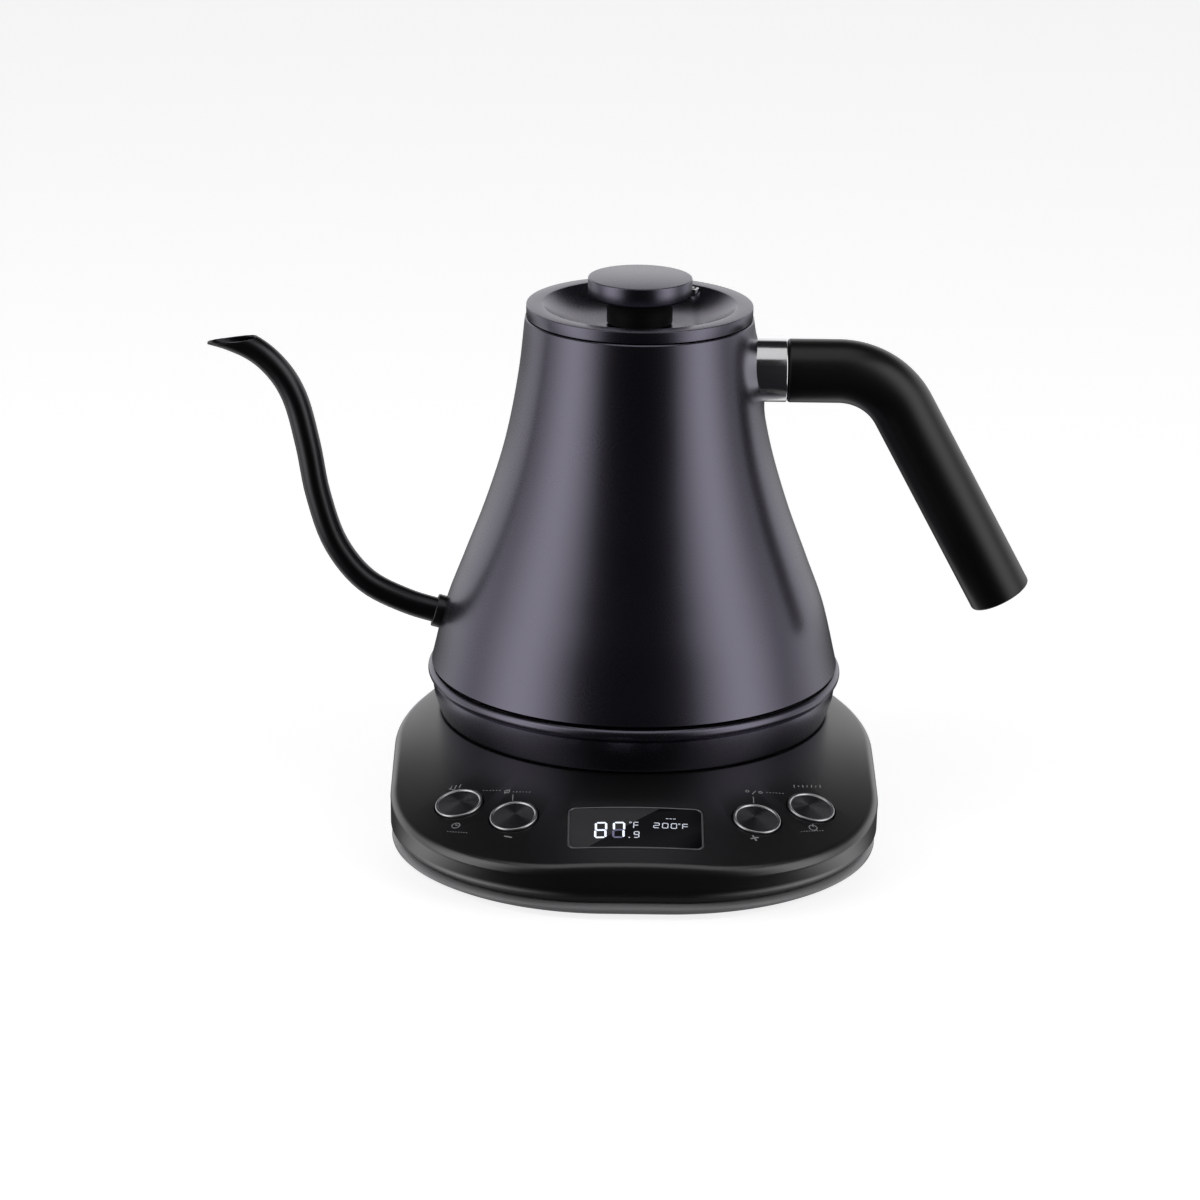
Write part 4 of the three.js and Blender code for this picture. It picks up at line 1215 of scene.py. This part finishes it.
# %% [markdown]
# ## Printed marks
# Small grey marks round the buttons say what each one does. Here they are plain pictures: warm
# waves, a clock, dotted leaders with a tick, minus, plus, a scale and a standby ring.

# %% Marks
mark_ink = ink("mark_ink", (0.4, 0.4, 0.41))
LINE = 0.32


def dotted(x, y, count, pitch, slope=0.0):
    steps = [i * pitch for i in range(count)]
    return [(add_bar, (x + step, y + step * slope, pitch * 0.45, LINE)) for step in steps]


def waves(x, y):
    strokes = [(add_bar, (x + i * 1.5, y, 2.2, LINE, 75)) for i in (-1, 0, 1)]
    return strokes + [(add_bar, (x, y - 1.9, 5.6, LINE, -33))]


def clock(x, y):
    hands = [(add_bar, (x, y + 0.45, 0.9, LINE, 90)), (add_bar, (x + 0.4, y, 0.8, LINE))]
    return [(add_ring, (x, y, 1.5, LINE)), *hands]


def standby(x, y):
    return [(add_ring, (x, y, 1.5, LINE)), (add_bar, (x, y + 1.3, 1.8, LINE, 90))]


def scale_marks(x, y, slope):
    steps = [(i * 1.5, 0.9 if i % 2 == 0 else 1.6) for i in range(-3, 4)]
    return [(add_bar, (x + step, y + step * slope, h, LINE, 90)) for step, h in steps]


marks = waves(-60.8, -66.8) + clock(-60.0, -89.6) + dotted(-62.6, -92.4, 8, 0.9, -0.33)
marks += dotted(-51.2, -71.6, 6, 1.1, -0.22) + dotted(-41.0, -74.6, 6, 1.1, -0.22)
marks += [(add_ring, (-43.2, -74.0, 1.0, LINE)), (add_bar, (-43.2, -74.0, 2.8, LINE, 45))]
marks += [(add_bar, (-41.2, -77.8, 3.4, LINE, 90)), (add_bar, (-42.4, -99.2, 2.8, 0.6, -24))]
marks += [(add_ring, (37.9, -73.4, 0.7, LINE)), (add_bar, (40.2, -73.6, 2.4, LINE, 60))]
marks += [(add_ring, (42.4, -73.0, 0.7, LINE)), *dotted(44.6, -72.6, 6, 1.1, 0.2)]
marks += [(add_bar, (39.9, -77.8, 3.4, LINE, 90))]
marks += [(add_bar, (39.6, -98.8, 3.0, 0.6, 24)), (add_bar, (39.6, -98.8, 3.0, 0.6, 114))]
marks += scale_marks(58.6, -64.6, 0.33) + standby(59.6, -88.6) + dotted(55.6, -91.8, 9, 0.9, 0.33)
printed = flat_piece("panel_marks", marks)
press_on(printed, -0.02, 0.04)
finish(printed, "power_base", [], "satin_plastic", mark_ink)

# %% [markdown]
# ## Pieces inside the casings
# The rest of the pieces sit inside and are seen only when the kettle is taken apart. Their shapes
# come straight from the model, and each one gets the finish of its own stuff.

# %% Finishes for the pieces inside
INSIDE = {
    "handle_core": stainless,
    "heating_element": aluminium,
    "temperature_probe": brass,
    "thermal_cutout_left": pale_plastic,
    "thermal_cutout_right": pale_plastic,
    "display_module": pale_plastic,
    "control_board": board_laminate,
    "power_board": board_laminate,
    "relay": inner_plastic,
    "transformer": aluminium,
    "capacitor": stainless,
    "buzzer": gloss_plastic,
}
INSIDE |= {f"switch_{name}": inner_plastic for name in BUTTON_ANGLES}
INSIDE |= {f"plunger_{name}": pale_plastic for name in BUTTON_ANGLES}
for node, material in INSIDE.items():
    nodes[node].data.materials.clear()
    nodes[node].data.materials.append(material)
shown = [name for name, node in nodes.items() if not node.hide_render]
print("pieces without a finish:", sorted(set(shown) - set(INSIDE)))

# %% [markdown]
# ## Stage
# The pale floor is a wide plane. Two tall soft boxes stand at the left and right, and draw the two
# upright highlights on the cone, with the dark of the room between them. One more hangs overhead.
# The room behind is a low pale wall that gives the lid, the knob and the edges their light.

# %% Floor
select_only(None)
bpy.ops.mesh.primitive_plane_add(size=12)
floor = bpy.context.object
floor.name = "floor"
floor_paint = Paint("floor", (0.5, 0.5, 0.5), 0.7)
patches = floor_paint.noise(300)
floor_paint.set(Base_Color=floor_paint.mix(patches, (0.49, 0.49, 0.5), (0.51, 0.51, 0.51)))
floor_paint.set(Emission_Color=(1.0, 1.0, 1.0), Emission_Strength=0.78)
floor.data.materials.append(floor_paint.material)
floor.visible_glossy = False
floor.visible_shadow = False
floor.visible_diffuse = False

# %% Soft boxes
AIM = Vector((0, 0, 0.1))


def soft_box(name, azimuth, elevation, distance, width, height, radiance, fade):
    """A box light of width by height metres, seen from the kettle at an angle.

    Azimuth 0 is the camera's side. The light fades towards the box's left and right ends,
    over a share of its width.
    """
    a, e = math.radians(azimuth), math.radians(elevation)
    towards = Vector((math.sin(a) * math.cos(e), -math.cos(a) * math.cos(e), math.sin(e)))
    data = bpy.data.lights.new(name, "AREA")
    data.shape = "RECTANGLE"
    data.size, data.size_y = width, height
    data.energy = radiance * math.pi * width * height
    data.use_nodes = True
    tree = data.node_tree
    across = tree.nodes.new("ShaderNodeSeparateXYZ")
    tree.links.new(tree.nodes.new("ShaderNodeNewGeometry").outputs["Parametric"], across.inputs[0])
    light_maths = [("SUBTRACT", 0.5), ("ABSOLUTE", None), ("SUBTRACT", 0.5), ("ABSOLUTE", None)]
    value = across.outputs[0]
    for operation, number in light_maths:
        step = tree.nodes.new("ShaderNodeMath")
        step.operation = operation
        tree.links.new(value, step.inputs[0])
        if number:
            step.inputs[1].default_value = number
        value = step.outputs[0]
    fall = tree.nodes.new("ShaderNodeMapRange")
    fall.interpolation_type = "SMOOTHSTEP"
    fall.inputs["From Max"].default_value = fade
    tree.links.new(value, fall.inputs["Value"])
    tree.links.new(fall.outputs[0], tree.nodes["Emission"].inputs["Strength"])
    light = bpy.data.objects.new(name, data)
    light.matrix_world = Matrix.Translation(AIM + towards * distance) @ (
        towards.to_track_quat("Z", "Y").to_matrix().to_4x4()
    )
    light.visible_camera = False
    bpy.context.scene.collection.objects.link(light)


soft_box("left_box", -66, 12, 1.2, 1.8, 2.2, 1.7, 0.5)
soft_box("right_box", 62, 12, 1.2, 1.7, 2.2, 1.7, 0.5)
soft_box("top_box", 0, 80, 1.6, 1.4, 1.4, 0.75, 0.1)

# %% Room
world = bpy.data.worlds.new("room")
bpy.context.scene.world = world
world.use_nodes = True
room = world.node_tree
rays = room.nodes.new("ShaderNodeLightPath")
axes = room.nodes.new("ShaderNodeSeparateXYZ")
room.links.new(room.nodes.new("ShaderNodeTexCoord").outputs["Generated"], axes.inputs[0])


def fading(axis, dark, bright):
    """A share that goes smoothly from 0 to 1 as a direction turns along an axis."""
    fade = room.nodes.new("ShaderNodeMapRange")
    fade.interpolation_type = "SMOOTHSTEP"
    fade.inputs["From Min"].default_value = dark
    fade.inputs["From Max"].default_value = bright
    room.links.new(axes.outputs[axis], fade.inputs["Value"])
    return fade.outputs[0]


def blend(share, first, second):
    """A colour between two colours, each given or linked."""
    mix = room.nodes.new("ShaderNodeMix")
    mix.data_type = "RGBA"
    room.links.new(share, mix.inputs["Factor"])
    for socket, colour in ((mix.inputs[6], first), (mix.inputs[7], second)):
        if isinstance(colour, tuple):
            socket.default_value = (*colour, 1)
        else:
            room.links.new(colour, socket)
    return mix.outputs[2]


WALL, DARK, PALE = (1.0, 1.0, 1.01), (0.014, 0.014, 0.016), (0.93, 0.93, 0.94)
wall = blend(fading("Y", -0.3, 0.6), DARK, WALL)
low_wall = blend(fading("Z", 0.56, 0.36), DARK, wall)
straight_behind = blend(fading("Y", 0.45, 0.85), low_wall, DARK)
room_light = blend(fading("Z", -0.3, -0.02), straight_behind, low_wall)
seen = blend(rays.outputs["Is Camera Ray"], room_light, PALE)
room.links.new(seen, room.nodes["Background"].inputs["Color"])
print("stage set")
